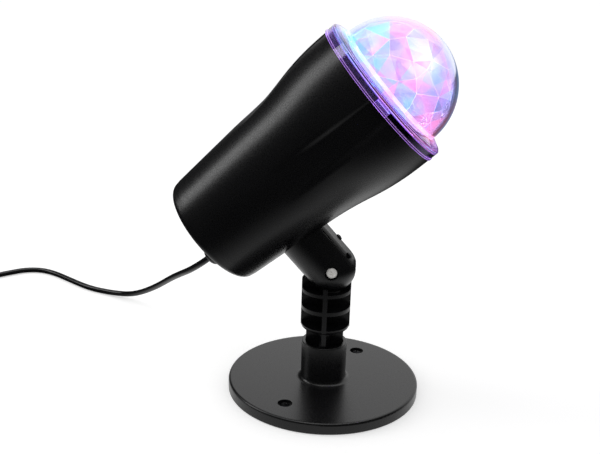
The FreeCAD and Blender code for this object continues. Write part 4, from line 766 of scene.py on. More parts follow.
# White solder resist on aluminium: even and half gloss, the tracks just visible.
LIGHT_BOARD = Board("white_light_board", lacquer="#e4e4e0", track="#cfcfca")
# Green solder resist on glass fibre, with paler tracks under it.
DRIVER_BOARD = Board("green_driver_board", lacquer="#14532f", track="#1f7040")
# Terminal block, taped transformer and sleeved capacitors, in that order down the board.
DRIVER_PARTS = SplitColour(
    "driver_parts", colours=("#2f6f3a", "#b8a23a", "#17181c"), borders_mm=(-17.0, 8.0), sideways=False,
    roughness=0.45,
)
# PVC insulation of the two wires, brown and blue, half gloss.
WIRES = SplitColour(
    "wire_insulation", colours=("#5b3220", "#2457a6"), borders_mm=(0.0,), sideways=True, roughness=0.35,
)


def dress(finish: Finish, *names: str) -> None:
    """Give carried-over pieces a finish.

    Args:
        finish: The finish.
        *names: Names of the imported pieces.
    """
    for name in names:
        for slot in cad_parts[name].material_slots:
            slot.material = finish.material()
        log.info("%s wears %s", name, finish.name)


@dataclass
class Shape:
    """Vertices and faces of one piece, gathered step by step. Points are in metres."""

    points: list[Vector] = field(default_factory=list)
    faces: list[tuple[int, ...]] = field(default_factory=list)

    def skin(self, rings: list[list[Vector]], capped: bool = False, looped: bool = False) -> None:
        """Join rings of equally many points with quads.

        Args:
            rings: The rings in order, each of them closed.
            capped: Close the first and the last ring with a face.
            looped: Join the last ring to the first.
        """
        first = len(self.points)
        count = len(rings[0])
        for ring in rings:
            self.points.extend(ring)
        starts = [first + i * count for i in range(len(rings))]
        pairs = list(zip(starts, starts[1:])) + ([(starts[-1], starts[0])] if looped else [])
        for low, high in pairs:
            for k in range(count):
                after = (k + 1) % count
                self.faces.append((low + k, low + after, high + after, high + k))
        if capped:
            self.faces.append(tuple(reversed(range(starts[0], starts[0] + count))))
            self.faces.append(tuple(range(starts[-1], starts[-1] + count)))

    def piece(
        self,
        name: str,
        finish: Finish,
        slot: str,
        *stands_for: str,
        body: str = "head",
        sharp: float = SHARP_ANGLE,
    ) -> bpy.types.Object:
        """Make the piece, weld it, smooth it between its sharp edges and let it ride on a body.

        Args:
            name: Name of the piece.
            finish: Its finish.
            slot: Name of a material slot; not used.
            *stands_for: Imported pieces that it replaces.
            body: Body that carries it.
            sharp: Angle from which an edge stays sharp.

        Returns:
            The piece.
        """
        mesh = bpy.data.meshes.new(name)
        mesh.from_pydata(self.points, [], self.faces)
        work = bmesh.new()
        work.from_mesh(mesh)
        bmesh.ops.remove_doubles(work, verts=work.verts, dist=WELD)
        bmesh.ops.dissolve_degenerate(work, edges=work.edges, dist=WELD)
        bmesh.ops.recalc_face_normals(work, faces=work.faces)
        for face in work.faces:
            face.smooth = True
        for edge in work.edges:
            edge.smooth = edge.calc_face_angle(0.0) < sharp
        work.to_mesh(mesh)
        work.free()
        mesh.materials.append(finish.material())
        made = bpy.data.objects.new(name, mesh)
        bpy.context.scene.collection.objects.link(made)
        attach(made, body)
        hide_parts(*stands_for)
        log.info("%s has %d faces", name, len(mesh.polygons))
        return made


def circle(radius: float, count: int) -> list[tuple[float, float]]:
    """Points spaced evenly round a circle."""
    angles = [2 * math.pi * i / count for i in range(count)]
    return [(radius * math.cos(a), radius * math.sin(a)) for a in angles]


# Sub-assemblies

@dataclass
class Base:
    """Weighted base with its rubber pad."""

    def dress(self) -> None:
        """Give each piece its finish."""
        dress(BASE_ABS, "base_cover")
        dress(BLACK_STEEL, "base_screws")
        dress(PLATE_STEEL, "base_weight")
        dress(PAD_RUBBER, "base_pad")


@dataclass
class PostAndArm:
    """Ribbed post, friction pivot and arm."""

    def dress(self) -> None:
        """Give each piece its finish."""
        dress(ARM_ABS, "ribbed_post", "arm_shell", "arm_cover")
        dress(BLACK_STEEL, "arm_cover_screws")
        dress(ZINC_STEEL, "post_screw", "pivot_nut", "arm_mount_screws")
        dress(SPIDER_ACETAL, "pivot_washers")


@dataclass
class Housing:
    """Flared and fluted lamp body with the spigot that carries the clear cover, in the head frame."""

    wall_mm: float = 2.3
    rear_z_mm: float = -47.5
    rear_radius_mm: float = 38.9
    rear_crown_mm: float = 1.0
    rear_round_mm: float = 4.5
    waist_z_mm: float = 21.7
    waist_radius_mm: float = 43.4
    flare: float = math.radians(11.0)
    waist_arc_mm: float = 216.0
    shoulder_arc_mm: float = 175.0
    rim_z_mm: float = 94.7
    rim_radius_mm: float = 51.1
    flute_count: int = 4
    flute_depth_mm: float = 2.4
    flute_rim_width_mm: float = 19.0
    flute_tail_width_mm: float = 26.0
    flute_tail_z_mm: float = 8.0
    flute_ramp_share: float = 0.7
    flute_soft_share: float = 0.36
    neck_radius_mm: float = 46.9
    neck_depth_mm: float = 4.0
    spigot_radius_mm: float = 48.6
    spigot_top_mm: float = 99.1
    tab_window: float = math.radians(13.0)
    # Inner and outer radius, bottom and top of the seal's ledge
    ledge_mm: tuple[float, float, float, float] = (43.9, 48.3, 88.5, 90.5)
    # Distance from the axis, radius and top of the posts on the rear wall
    pillar_mm: tuple[float, float, float] = (26.0, 3.4, -32.0)
    pillar_angles: tuple[float, ...] = (90.0, 210.0, 330.0)
    # Distance from the axis, radius, bottom and top of the heat sink's bosses
    boss_mm: tuple[float, float, float, float] = (40.5, 4.0, 58.0, 70.0)
    boss_angles: tuple[float, ...] = (45.0, 165.0, 285.0)
    post_sides: int = 24
    floor_steps: int = 24
    side_steps: int = 28
    flank_steps: int = 56
    corner_steps: int = 8
    rear_steps: int = 5

    @property
    def cone(self) -> float:
        """Half angle of the tapered rear."""
        return math.atan2(self.waist_radius_mm - self.rear_radius_mm, self.waist_z_mm - self.rear_z_mm)

    def side_radius(self, z: float) -> float:
        """Outer radius at a height: tapered rear, hollow waist, straight flare and rounded shoulder.

        Args:
            z: Height in millimetres.

        Returns:
            The radius in millimetres.
        """
        if z <= self.waist_z_mm:
            return self.waist_radius_mm + (z - self.waist_z_mm) * math.tan(self.cone)
        flare, arc = self.flare, self.waist_arc_mm
        waist_end_z = self.waist_z_mm + arc * (math.sin(flare) - math.sin(self.cone))
        waist_end_radius = self.waist_radius_mm + arc * (math.cos(self.cone) - math.cos(flare))
        if z <= waist_end_z:
            angle = math.asin((z - self.waist_z_mm) / arc + math.sin(self.cone))
            return self.waist_radius_mm + arc * (math.cos(self.cone) - math.cos(angle))
        shoulder_radius = self.rim_radius_mm - self.shoulder_arc_mm * (1 - math.cos(flare))
        shoulder_z = waist_end_z + (shoulder_radius - waist_end_radius) / math.tan(flare)
        if z <= shoulder_z:
            return waist_end_radius + (z - waist_end_z) * math.tan(flare)
        rise = math.sin(flare) - (z - shoulder_z) / self.shoulder_arc_mm
        return self.rim_radius_mm - self.shoulder_arc_mm * (1 - math.cos(math.asin(max(rise, 0.0))))

    def flute(self, z: float) -> tuple[float, float]:
        """Half width and depth of a flute at a height.

        Args:
            z: Height in millimetres.

        Returns:
            Half the width and the depth, in millimetres.
        """
        along = min(max((z - self.flute_tail_z_mm) / (self.rim_z_mm - self.flute_tail_z_mm), 0.0), 1.0)
        ramp = min(along / self.flute_ramp_share, 1.0)
        width = self.flute_tail_width_mm + (self.flute_rim_width_mm - self.flute_tail_width_mm) * along
        return width / 2, self.flute_depth_mm * ramp * ramp * (3 - 2 * ramp)

    def ring(
        self, z: float, radius: float, half: float = 0.0, depth: float = 0.0, inset: float = 0.0
    ) -> list[Vector]:
        """Points round the housing at a height.

        Args:
            z: Height.
            radius: Outer radius between the flutes.
            half: Half width of a flute.
            depth: Depth of a flute, whose sides fall softly to its floor.
            inset: How far every point is drawn in.

        Returns:
            The points, in metres.
        """
        edge = math.asin(half / radius) if radius else 0.0
        pitch = 2 * math.pi / self.flute_count
        outline = []
        for i in range(self.floor_steps):
            across = 2 * i / self.floor_steps - 1
            fall = min((1 - abs(across)) / self.flute_soft_share, 1.0)
            y = half * across
            outline.append((math.sqrt(radius**2 - y**2) - depth * fall * (1 + fall * (3 - 2 * fall)) / 2, y))
        for i in range(self.side_steps):
            angle = edge + (pitch - 2 * edge) * i / self.side_steps
            outline.append((radius * math.cos(angle), radius * math.sin(angle)))
        points = []
        for k in range(self.flute_count):
            c, s = math.cos(pitch * k), math.sin(pitch * k)
            for x, y in outline:
                far = math.hypot(x, y)
                share = (far - inset) / far if far else 0.0
                points.append(HEAD.point((x * c - y * s) * share, (x * s + y * c) * share, z))
        return points

    def plain_ring(self, z: float, radius: float) -> list[Vector]:
        """Points round a circle at a height, in the same order as a fluted ring."""
        return self.ring(z, radius, min(self.flute(z)[0], radius / 2))

    def side_ring(self, z: float, inset: float) -> list[Vector]:
        """Points round the fluted side at a height, drawn in by a wall."""
        return self.ring(z, self.side_radius(z), *self.flute(z), inset)

    def surface(self, inset: float) -> list[list[Vector]]:
        """Rings from the middle of the rear face to the rim.

        Args:
            inset: How far every point is drawn in, in millimetres.

        Returns:
            The rings, in metres.
        """
        corner = self.rear_round_mm - inset
        flat = self.rear_radius_mm - self.rear_round_mm
        rings = []
        for i in range(self.rear_steps + 1):
            radius = flat * i / self.rear_steps
            crown = self.rear_crown_mm * (1 - (radius / flat) ** 2)
            rings.append(self.plain_ring(self.rear_z_mm + inset - crown, radius))
        for i in range(1, self.corner_steps + 1):
            angle = math.pi / 2 * i / self.corner_steps
            z = self.rear_z_mm + inset + corner * (1 - math.cos(angle))
            rings.append(self.plain_ring(z, flat + corner * math.sin(angle)))
        start = self.rear_z_mm + self.rear_round_mm
        end = self.rim_z_mm if not inset else self.rim_z_mm - self.neck_depth_mm
        for i in range(1, self.flank_steps + 1):
            z = start + (end - start) * i / self.flank_steps
            rings.append(self.side_ring(z, inset))
        return rings

    def spigot_part(self, turn: float) -> list[list[Vector]]:
        """Sections of the spigot between two tab windows.

        Args:
            turn: Angle of the first window's middle.

        Returns:
            The sections, in metres.
        """
        low, top = self.rim_z_mm - self.neck_depth_mm / 4, self.spigot_top_mm
        corners = [(self.neck_radius_mm, low), (self.spigot_radius_mm, low)]
        corners += [(self.spigot_radius_mm, top), (self.neck_radius_mm, top)]
        pitch = 2 * math.pi / self.flute_count
        sections = []
        for i in range(self.side_steps + 1):
            angle = turn + self.tab_window / 2 + (pitch - self.tab_window) * i / self.side_steps
            sections.append([HEAD.point(r * math.cos(angle), r * math.sin(angle), z) for r, z in corners])
        return sections

    def post(
        self, circle_mm: float, radius: float, angle: float, low: float, top: float
    ) -> list[list[Vector]]:
        """Rings of a round post that stands along the axis inside the housing.

        Args:
            circle_mm: Distance of the post from the housing's axis.
            radius: Radius of the post.
            angle: Degrees round the axis.
            low: Height of its foot.
            top: Height of its top.

        Returns:
            The rings, in metres.
        """
        turn = math.radians(angle)
        x, y = circle_mm * math.cos(turn), circle_mm * math.sin(turn)
        outline = circle(radius, self.post_sides)
        return [[HEAD.point(x + dx, y + dy, z) for dx, dy in outline] for z in (low, top)]

    def build(self) -> bpy.types.Object:
        """Build the shell, its spigot, the seal's ledge and the bosses for the screws.

        Returns:
            The housing.
        """
        shape = Shape()
        neck_low = self.rim_z_mm - self.neck_depth_mm
        neck = [self.plain_ring(z, self.neck_radius_mm) for z in (self.rim_z_mm, neck_low)]
        shape.skin(self.surface(0.0) + neck + list(reversed(self.surface(self.wall_mm))))
        for k in range(self.flute_count):
            shape.skin(self.spigot_part(2 * math.pi * k / self.flute_count), capped=True)
        inner, outer, low, top = self.ledge_mm
        corners = ((inner, low), (outer, low), (outer, top), (inner, top))
        shape.skin([self.plain_ring(z, radius) for radius, z in corners], looped=True)
        circle_mm, radius, top = self.pillar_mm
        low = self.rear_z_mm + self.wall_mm / 2
        for angle in self.pillar_angles:
            shape.skin(self.post(circle_mm, radius, angle, low, top), capped=True)
        circle_mm, radius, low, top = self.boss_mm
        for angle in self.boss_angles:
            shape.skin(self.post(circle_mm, radius, angle, low, top), capped=True)
        return shape.piece("housing_shell", HOUSING_ABS, "housing_plastic", "housing")


@dataclass
class Gland:
    """Round domed boss on the rear wall that grips the cord, with its nut inside."""

    x_mm: float = 12.5
    radius_mm: float = 7.2
    tip_z_mm: float = -61.0
    nose_round_mm: float = 3.6
    wall_z_mm: float = -47.9
    stem_radius_mm: float = 5.4
    stem_top_mm: float = -38.5
    bore_mm: float = 2.25
    mouth_mm: float = 3.5
    mouth_depth_mm: float = 4.0
    nut_z_mm: float = -45.1
    nut_flats_mm: float = 15.0
    nut_thickness_mm: float = 4.0
    nut_play_mm: float = 0.05
    sides: int = 48
    round_steps: int = 8

    def turned(self, outline: list[tuple[float, float]], sides: int) -> list[list[Vector]]:
        """Rings of an outline of radius and height, turned about the gland's own axis."""
        rounds = [(circle(radius, sides), z) for radius, z in outline]
        return [[HEAD.point(self.x_mm + dx, dy, z) for dx, dy in points] for points, z in rounds]

    def build(self) -> list[bpy.types.Object]:
        """Build the boss with its flared mouth and the six-sided nut.

        Returns:
            The gland and the nut.
        """
        outline = [(self.bore_mm, self.stem_top_mm), (self.bore_mm, self.tip_z_mm + self.mouth_depth_mm)]
        outline.append((self.mouth_mm, self.tip_z_mm))
        for i in range(self.round_steps + 1):
            angle = math.pi / 2 * i / self.round_steps
            radius = self.radius_mm - self.nose_round_mm * (1 - math.sin(angle))
            outline.append((radius, self.tip_z_mm + self.nose_round_mm * (1 - math.cos(angle))))
        outline += [(self.radius_mm, self.wall_z_mm), (self.stem_radius_mm, self.wall_z_mm)]
        outline.append((self.stem_radius_mm, self.stem_top_mm))
        boss = Shape()
        boss.skin(self.turned(outline, self.sides), looped=True)
        nut = Shape()
        corner = self.nut_flats_mm / math.sqrt(3)
        bore = self.stem_radius_mm + self.nut_play_mm
        low, top = self.nut_z_mm, self.nut_z_mm + self.nut_thickness_mm
        nut.skin(self.turned([(bore, low), (corner, low), (corner, top), (bore, top)], 6), looped=True)
        return [
            boss.piece("gland_boss", GLAND_NYLON, "arm_plastic", "cord_gland"),
            nut.piece("gland_lock_nut", GLAND_NYLON, "arm_plastic", "gland_nut"),
        ]


@dataclass
class PivotScrew:
    """Bright pan-head screw through the pivot, with a small shallow cross recess."""

    seat_mm: Place = (3.5, -14.3, 90.0)
    head_radius_mm: float = 3.5
    head_height_mm: float = 2.4
    bulge_mm: float = 1.3
    shank_radius_mm: float = 2.0
    shank_length_mm: float = 29.7
    slot_width_mm: float = 0.62
    slot_reach_mm: float = 1.75
    slot_depth_mm: float = 0.45
    slot_wall_mm: float = 0.12
    slot_turn: float = math.radians(22)
    sides: int = 96
    steps: int = 36

    def recess(self, x: float, y: float) -> float:
        """Depth of the cross recess, whose walls slope, at a point of the head.

        Args:
            x: Place across the head in millimetres.
            y: Place up the head in millimetres.

        Returns:
            The depth in millimetres.
        """
        c, s = math.cos(self.slot_turn), math.sin(self.slot_turn)
        u, v = abs(x * c + y * s), abs(y * c - x * s)
        across, along = min(u, v), max(u, v)
        inside = min(self.slot_width_mm / 2 - across, self.slot_reach_mm - along)
        return self.slot_depth_mm * min(max(inside / self.slot_wall_mm, 0.0), 1.0)

    def place(self, x: float, y: float, reach: float) -> Vector:
        """World place of a point of the screw, whose head faces -y."""
        sx, sy, sz = self.seat_mm
        return Vector((sx + x, sy - reach, sz + y)) * MM

    def build(self) -> bpy.types.Object:
        """Build the head and the shank.

        Returns:
            The screw.
        """
        crown = (self.head_radius_mm**2 + self.bulge_mm**2) / (2 * self.bulge_mm)
        rings = []
        for i in range(self.steps + 1):
            radius = self.head_radius_mm * i / self.steps
            reach = self.head_height_mm - crown + math.sqrt(crown**2 - radius**2)
            points = circle(radius, self.sides)
            rings.append([self.place(x, y, reach - self.recess(x, y)) for x, y in points])
        for radius, reach in (
            (self.head_radius_mm, 0.0),
            (self.shank_radius_mm, 0.0),
            (self.shank_radius_mm, -self.shank_length_mm),
            (0.0, -self.shank_length_mm),
        ):
            rings.append([self.place(x, y, reach) for x, y in circle(radius, self.sides)])
        shape = Shape()
        shape.skin(rings)
        return shape.piece("pivot_pan_screw", NICKEL_STEEL, "bright_screw", "pivot_screw")


@dataclass
class Lens:
    """Faceted inner dome, cut in flat triangles outside and inside, open below."""

    outer_mm: float = 39.9
    inner_mm: float = 37.7
    centre_mm: float = 103.8
    bottom_mm: float = 97.0
    corners: int = 66
    rim_corners: int = 22
    scatter: float = 0.42
    turn_share: float = 0.5
    foot_gap: float = 1.2
    inner_turn: float = 0.9
    seed: int = 11

    def dome(self, radius: float, turn: float) -> tuple[list[Vector], list[tuple[int, ...]]]:
        """Corners and facets of a dome that is cut flat below.

        Args:
            radius: Distance of the corners from the dome's centre.
            turn: Angle by which the corners are turned about the axis.

        Returns:
            The points in metres, those of the foot first, and the facets.
        """
        dice = random.Random(self.seed + round(radius))
        foot = (self.bottom_mm - self.centre_mm) / radius
        directions = [Vector((x, y, foot)) for x, y in circle(math.sqrt(1 - foot**2), self.rim_corners)]
        lowest = foot + self.foot_gap / self.corners**0.5
        golden = math.pi * (3 - math.sqrt(5))
        for i in range(self.corners):
            z = 1 - (1 - lowest) * (i + 0.5 + dice.uniform(-self.scatter, self.scatter)) / self.corners
            angle = turn + golden * i + dice.uniform(-self.scatter, self.scatter) * self.turn_share
            flat = math.sqrt(max(1 - z * z, 0.0))
            directions.append(Vector((flat * math.cos(angle), flat * math.sin(angle), z)))
        work = bmesh.new()
        for way in directions:
            work.verts.new(way)
        work.verts.index_update()
        bmesh.ops.convex_hull(work, input=work.verts)
        facets = [tuple(v.index for v in face.verts) for face in work.faces]
        work.free()
        facets = [f for f in facets if max(f) >= self.rim_corners]
        points = [HEAD.point(w.x * radius, w.y * radius, self.centre_mm + w.z * radius) for w in directions]
        return points, facets

    def build(self) -> bpy.types.Object:
        """Build both faceted skins and the ring that joins them at the foot.

        Returns:
            The lens.
        """
        shape = Shape()
        outer, outer_facets = self.dome(self.outer_mm, 0.0)
        inner, inner_facets = self.dome(self.inner_mm, self.inner_turn)
        shape.points = outer + inner
        shift = len(outer)
        shape.faces = outer_facets + [tuple(shift + i for i in facet) for facet in inner_facets]
        for k in range(self.rim_corners):
            after = (k + 1) % self.rim_corners
            shape.faces.append((k, after, shift + after, shift + k))
        return shape.piece("faceted_dome", LENS_ACRYLIC, "facet_clear", "rotor_lens", body="rotor", sharp=0.0)


@dataclass
class Head:
    """Clear cover with its seal, and the wheel and shaft that turn the faceted dome."""

    def dress(self) -> None:
        """Give each piece its finish."""
        dress(VIOLET_CLEAR, "dome_cover")
        dress(SEAL_SILICONE, "dome_gasket")
        dress(SPIDER_ACETAL, "rotor_spider")
        dress(ZINC_STEEL, "motor_shaft")


@dataclass
class LightEngine:
    """Heat sink, chips, motor and driver inside the housing."""

    def dress(self) -> None:
        """Give each piece its finish."""
        dress(MILLED_ALUMINIUM, "heat_sink")
        dress(LIGHT_BOARD, "led_board")
        dress(CHIPS, "leds")
        dress(CLEAR_ACRYLIC, "led_optics")
        dress(DRAWN_CAN, "motor")
        dress(ZINC_STEEL, "sink_screws", "motor_screws", "driver_screws")
        dress(DRIVER_BOARD, "driver_board")
        dress(DRIVER_PARTS, "driver_parts")
        dress(WIRES, "mains_wires")


@dataclass
class Cord:
    """Round cord from inside the gland to the plug, in one piece.

    The points are those of the modelled cord: down from the gland, along the table, round the coil
    and on to the plug.
    """

    radius_mm: float = 2.2
    length: float = 1.77
    floor_z_mm: float = 2.25
    gland_x_mm: float = 12.5
    inside_z_mm: float = -40.0
    start_z_mm: float = -49.0
    bend_z_mm: float = -64.2
    tip_z_mm: float = -61.0
    sides: int = 20
    steps: int = 7
    order: int = 3
    drop_mm: tuple[Place, ...] = (
        (-94.3, 11.2, 76.3),
        (-103.6, 25.5, 67.5),
        (-114.5, 43.0, 56.6),
        (-131.7, 72.0, 37.4),
        (-151.0, 103.0, 18.4),
        (-168.5, 126.0, 5.4),
        (-187.0, 135.0, 2.25),
    )
    table_mm: tuple[Place, ...] = (
        (-207.5, 142.0, 2.25),
        (-229.0, 157.5, 2.25),
        (-247.5, 171.0, 2.25),
        (-262.0, 176.5, 2.25),
        (-275.5, 174.3, 2.25),
        (-286.0, 166.0, 2.25),
        (-300.5, 153.2, 2.25),
    )
    tail_mm: tuple[Place, ...] = (
        (-313.1, 127.3, 7.02),
        (-316.4, 113.6, 3.50),
        (-320.3, 101.0, 2.25),
        (-324.8, 88.5, 2.80),
        (-329.4, 77.0, 6.9),
        (-332.6, 69.3, 6.9),
    )
    coil_centre_mm: tuple[float, float] = (-344.0, 164.5)
    coil_inner_mm: float = 16.5
    coil_pitch_mm: float = 4.87
    coil_half_sweep: float = 1419.0
    coil_start_angle: float = -50.0
    coil_climb: float = 88.69
    coil_points_per_turn: int = 18
    coil_run_mm: float = 4.4
    lead_mm: float = 13.0

    def coil_point(self, angle: float) -> Vector:
        """Point of the coil in millimetres, at an angle in degrees from the middle of its middle half turn.

        Args:
            angle: Negative on the table layer, which winds in, and positive on top, which winds out.

        Returns:
            The point.
        """
        climb = min(max((angle + self.coil_climb) / (2 * self.coil_climb), 0.0), 1.0)
        rise = climb * climb * (3 - 2 * climb)
        reach = self.coil_inner_mm + self.coil_pitch_mm * abs(angle) / 360
        turn = math.radians(self.coil_start_angle - self.coil_half_sweep - angle)
        x, y = self.coil_centre_mm
        z = self.floor_z_mm + self.coil_pitch_mm * rise
        return Vector((x + reach * math.cos(turn), y + reach * math.sin(turn), z))

    def coil(self) -> list[Vector]:
        """Points round the coil with the straight ends that lead in and out of it.

        Returns:
            The points, in millimetres.
        """
        half = self.coil_half_sweep
        count = round(2 * half / 360 * self.coil_points_per_turn)
        turns = [self.coil_point(-half + 2 * half * i / count) for i in range(count + 1)]
        nudge = 0.01
        way_in = (self.coil_point(-half + nudge) - turns[0]).normalized()
        way_out = (turns[-1] - self.coil_point(half - nudge)).normalized()
        run = self.coil_run_mm
        lead_in = [turns[0] - way_in * (run + self.lead_mm), turns[0] - way_in * run]
        lead_out = [turns[-1] + way_out * run, turns[-1] + way_out * (run + self.lead_mm)]
        return lead_in + turns + lead_out

    def route(self) -> list[Vector]:
        """Control points of the cord's line.

        Returns:
            The points, in metres.
        """
        heights = (self.inside_z_mm, self.start_z_mm, self.bend_z_mm)
        gland = [HEAD.point(self.gland_x_mm, 0, z) for z in heights]
        outside = [Vector(p) * MM for p in self.drop_mm + self.table_mm]
        coil = [p * MM for p in self.coil()]
        tail = [Vector(p) * MM for p in self.tail_mm]
        return gland + outside + coil + tail

    def line(self) -> list[Vector]:
        """Points read from the smooth line of the route.

        Returns:
            The points, in metres.
        """
        points = self.route()
        curve = bpy.data.curves.new("cord_route", "CURVE")
        curve.dimensions = "3D"
        spline = curve.splines.new("NURBS")
        spline.points.add(len(points) - 1)
        for slot, point in zip(spline.points, points):
            slot.co = (*point, 1.0)
        spline.order_u = self.order
        spline.use_endpoint_u = True
        spline.resolution_u = self.steps
        holder = bpy.data.objects.new("cord_route", curve)
        mesh = bpy.data.meshes.new_from_object(holder)
        path = [vertex.co.copy() for vertex in mesh.vertices]
        bpy.data.objects.remove(holder)
        bpy.data.curves.remove(curve)
        bpy.data.meshes.remove(mesh)
        return path

    def build(self) -> bpy.types.Object:
        """Returns:
            The cord.
        """
        path = self.line()
        mesh = bpy.data.meshes.new("cord")
        vertices, faces = sweep_tube(path, self.radius_mm * MM, self.sides)
        mesh.from_pydata(vertices, [], faces)
        mesh.shade_smooth()
        cord = bpy.data.objects.new("cord", mesh)
        bpy.context.scene.collection.objects.link(cord)
        mesh.materials.append(CORD_PVC.material())
        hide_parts("cord_entry", "cord_drop", "cord_floor", "cord_coil", "cord_tail")
        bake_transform(cord)
        log.info("cord follows %d points", len(path))
        return cord

    def dress(self) -> None:
        """Give the plug its finishes."""
        dress(PLUG_PVC, "plug_body")
        dress(NICKEL_STEEL, "plug_pins")


def sweep_tube(path: list[Vector], radius: float, sides: int) -> tuple[list[Vector], list[tuple[int, ...]]]:
    """Sweep a round section along a path without twisting it.

    Args:
        path: Points of the centre line.
        radius: Radius of the section.
        sides: Corners of the section.

    Returns:
        Vertices and faces, with both ends closed.
    """
    ways = []
    for i in range(len(path)):
        before = path[max(i - 1, 0)]
        after = path[min(i + 1, len(path) - 1)]
        ways.append((after - before).normalized())
    side = ways[0].orthogonal().normalized()
    vertices: list[Vector] = []
    for i, (point, way) in enumerate(zip(path, ways)):
        if i:
            side = ways[i - 1].rotation_difference(way) @ side
        side = (side - way * side.dot(way)).normalized()
        other = way.cross(side)
        for k in range(sides):
            angle = 2 * math.pi * k / sides
            vertices.append(point + (side * math.cos(angle) + other * math.sin(angle)) * radius)
    faces: list[tuple[int, ...]] = [tuple(reversed(range(sides)))]
    for i in range(len(path) - 1):
        for k in range(sides):
            low, high = i * sides, (i + 1) * sides
            after_k = (k + 1) % sides
            faces.append((low + k, low + after_k, high + after_k, high + k))
    last = (len(path) - 1) * sides
    faces.append(tuple(range(last, last + sides)))
    return vertices, faces


# Studio

@dataclass(frozen=True)
class Softbox:
    """Flat lamp behind a cloth, aimed at the lamp head."""

    name: str
    place: Place
    width: float
    height: float
    power: float
    colour: str = WHITE

    def build(self, target: Vector) -> None:
        """Add the lamp, facing a target.

        Args:
            target: Point that it faces.
        """
        light = bpy.data.lights.new(self.name, "AREA")
        light.shape = "RECTANGLE"
        light.size = self.width
        light.size_y = self.height
        light.energy = self.power
        light.color = linear(self.colour)[:3]
        lamp = bpy.data.objects.new(self.name, light)
        lamp.location = self.place
        lamp.rotation_euler = (target - Vector(self.place)).to_track_quat("-Z", "Y").to_euler()
        bpy.context.scene.collection.objects.link(lamp)


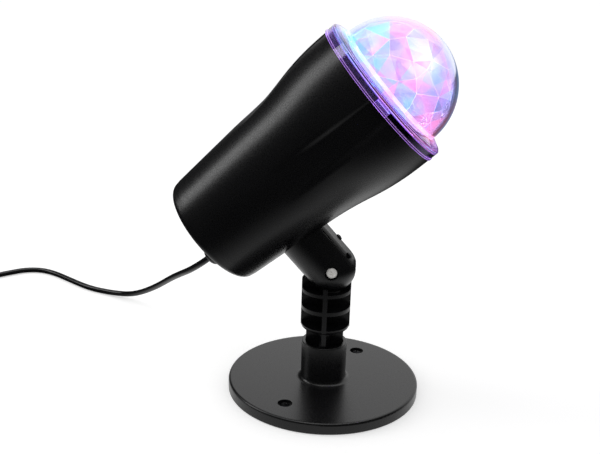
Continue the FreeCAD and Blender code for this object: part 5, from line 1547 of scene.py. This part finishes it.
@dataclass
class Studio:
    """White table that runs out of sight, soft lamps and a plain white surround."""

    floor_size: float = 14.0
    floor_drop: float = 0.0001
    floor_colour: str = "#e8e8e8"
    floor_lift: float = 0.42
    pool_gloss: float = 1.0
    pool_near: float = 0.11
    pool_far: float = 0.24
    pool_front_share: float = 0.25
    pool_front_y: float = -0.14
    pool_back_y: float = 0.06
    ambient: float = 0.75
    back_way: Place = (0.36, 0.876, 0.31)
    back_start: float = 0.6
    back_full: float = 0.87
    back_gloss: float = 0.95
    front_gloss: float = 0.02
    top_start: float = 0.72
    top_full: float = 0.97
    top_gloss: float = 1.7
    target: Place = (0.0, 0.0, 0.14)
    boxes: list[Softbox] = field(
        default_factory=lambda: [
            Softbox("left_softbox", (-1.05, 0.07, 0.8), 0.45, 0.8, 3.4),
        ]
    )

    def build(self) -> None:
        """Build the surround, the floor and the lamps."""
        self.surround()
        self.floor()
        for box in self.boxes:
            box.build(Vector(self.target))

    def surround(self) -> None:
        """White for the camera and through glass, a white backdrop with a dark front in reflections."""
        world = bpy.data.worlds.new("studio")
        world.use_nodes = True
        tree = world.node_tree
        tree.nodes.clear()
        path = add_node(tree, "LightPath")
        way = add_node(tree, "TexCoord").outputs["Generated"]
        height = add_node(tree, "SeparateXYZ", [way]).outputs["Z"]
        towards = add_node(tree, "VectorMath", [way, self.back_way], operation="DOT_PRODUCT")
        smooth = {"interpolation_type": "SMOOTHSTEP"}
        back = [towards, self.back_start, self.back_full, self.front_gloss, self.back_gloss]
        behind = add_node(tree, "MapRange", back, **smooth)
        top = [height, self.top_start, self.top_full, 0.0, self.top_gloss]
        above = add_node(tree, "MapRange", top, **smooth)
        bright = add_node(tree, "Math", [behind, above], operation="ADD")
        lit = add_node(tree, "Background", [linear(WHITE), self.ambient])
        mirrored = add_node(tree, "Background", [linear(WHITE), bright])
        seen = add_node(tree, "Background", [linear(WHITE), 1.0])
        rays = [path.outputs["Is Camera Ray"], path.outputs["Is Transmission Ray"]]
        through = add_node(tree, "Math", rays, operation="MAXIMUM")
        gloss = add_node(tree, "MixShader", [path.outputs["Is Glossy Ray"], lit, mirrored])
        add_node(tree, "OutputWorld", [add_node(tree, "MixShader", [through, gloss, seen])])
        bpy.context.scene.world = world

    def floor(self) -> None:
        """White table that keeps the lamp's soft shadow."""
        half = self.floor_size / 2
        mesh = bpy.data.meshes.new("floor")
        corners = [(-half, -half, 0), (half, -half, 0), (half, half, 0), (-half, half, 0)]
        mesh.from_pydata(corners, [], [(0, 1, 2, 3)])
        floor = bpy.data.objects.new("floor", mesh)
        floor.location = (0, 0, -self.floor_drop)
        bpy.context.scene.collection.objects.link(floor)
        material = bpy.data.materials.new("white_table")
        material.use_nodes = True
        tree = material.node_tree
        tree.nodes.clear()
        path = add_node(tree, "LightPath")
        rays = [path.outputs["Is Camera Ray"], path.outputs["Is Transmission Ray"]]
        seen = add_node(tree, "Math", rays, operation="MAXIMUM")
        cloth = add_node(tree, "BsdfDiffuse", [linear(self.floor_colour)])
        lift = add_node(tree, "Math", [seen, self.floor_lift], operation="MULTIPLY")
        glow = add_node(tree, "Emission", [linear(WHITE), lift])
        white = add_node(tree, "AddShader", [cloth, glow])
        # The lamp's black parts mirror the table near its foot, and only dimly the table in front
        place = add_node(tree, "TexCoord").outputs["Object"]
        away = add_node(tree, "VectorMath", [place], operation="LENGTH")
        pool = [away, self.pool_near, self.pool_far, self.pool_gloss, self.front_gloss]
        near = add_node(tree, "MapRange", pool)
        depth = add_node(tree, "SeparateXYZ", [place]).outputs["Y"]
        front = [depth, self.pool_front_y, self.pool_back_y, self.pool_front_share, 1.0]
        side = add_node(tree, "MapRange", front)
        shine = add_node(tree, "Math", [near, side], operation="MULTIPLY")
        mirrored = add_node(tree, "Emission", [linear(WHITE), shine])
        whole = add_node(tree, "MixShader", [path.outputs["Is Glossy Ray"], white, mirrored])
        add_node(tree, "OutputMaterial", [whole])
        mesh.materials.append(material)


@dataclass
class PhotoCamera:
    """Camera at the photograph's place. Its frame is 600 by 454 pixels."""

    place: Place = (0.01944, -0.57102, 0.30836)
    azimuth: float = 3.86
    elevation: float = 18.64
    lean: float = 1.82
    sensor_mm: float = 36.0
    lens_mm: float = 55.2
    clip_start: float = 0.01

    def build(self) -> None:
        """Add the camera and make it the scene's own."""
        turn, rise, lean = (math.radians(a) for a in (self.azimuth, self.elevation, self.lean))
        back = Vector((math.sin(turn) * math.cos(rise), -math.cos(turn) * math.cos(rise), math.sin(rise)))
        level = Vector((math.cos(turn), math.sin(turn), 0))
        upright = back.cross(level)
        right = level * math.cos(lean) + upright * math.sin(lean)
        up = upright * math.cos(lean) - level * math.sin(lean)
        data = bpy.data.cameras.new("photo_camera")
        data.sensor_fit = "HORIZONTAL"
        data.sensor_width = self.sensor_mm
        data.lens = self.lens_mm
        data.clip_start = self.clip_start
        camera = bpy.data.objects.new("photo_camera", data)
        axes = Matrix((right, up, back)).transposed().to_4x4()
        camera.matrix_world = Matrix.Translation(self.place) @ axes
        bpy.context.scene.collection.objects.link(camera)
        bpy.context.scene.camera = camera


def main() -> None:
    """Build the pieces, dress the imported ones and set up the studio."""
    logging.basicConfig(level=logging.INFO, format="%(message)s")
    bpy.context.scene.view_settings.view_transform = "Standard"
    PhotoCamera().build()
    cord = Cord()
    cord.build()
    cord.dress()
    Gland().build()
    Base().dress()
    PostAndArm().dress()
    PivotScrew().build()
    Housing().build()
    Lens().build()
    Head().dress()
    LightEngine().dress()
    Studio().build()


if __name__ == "__main__":
    main()
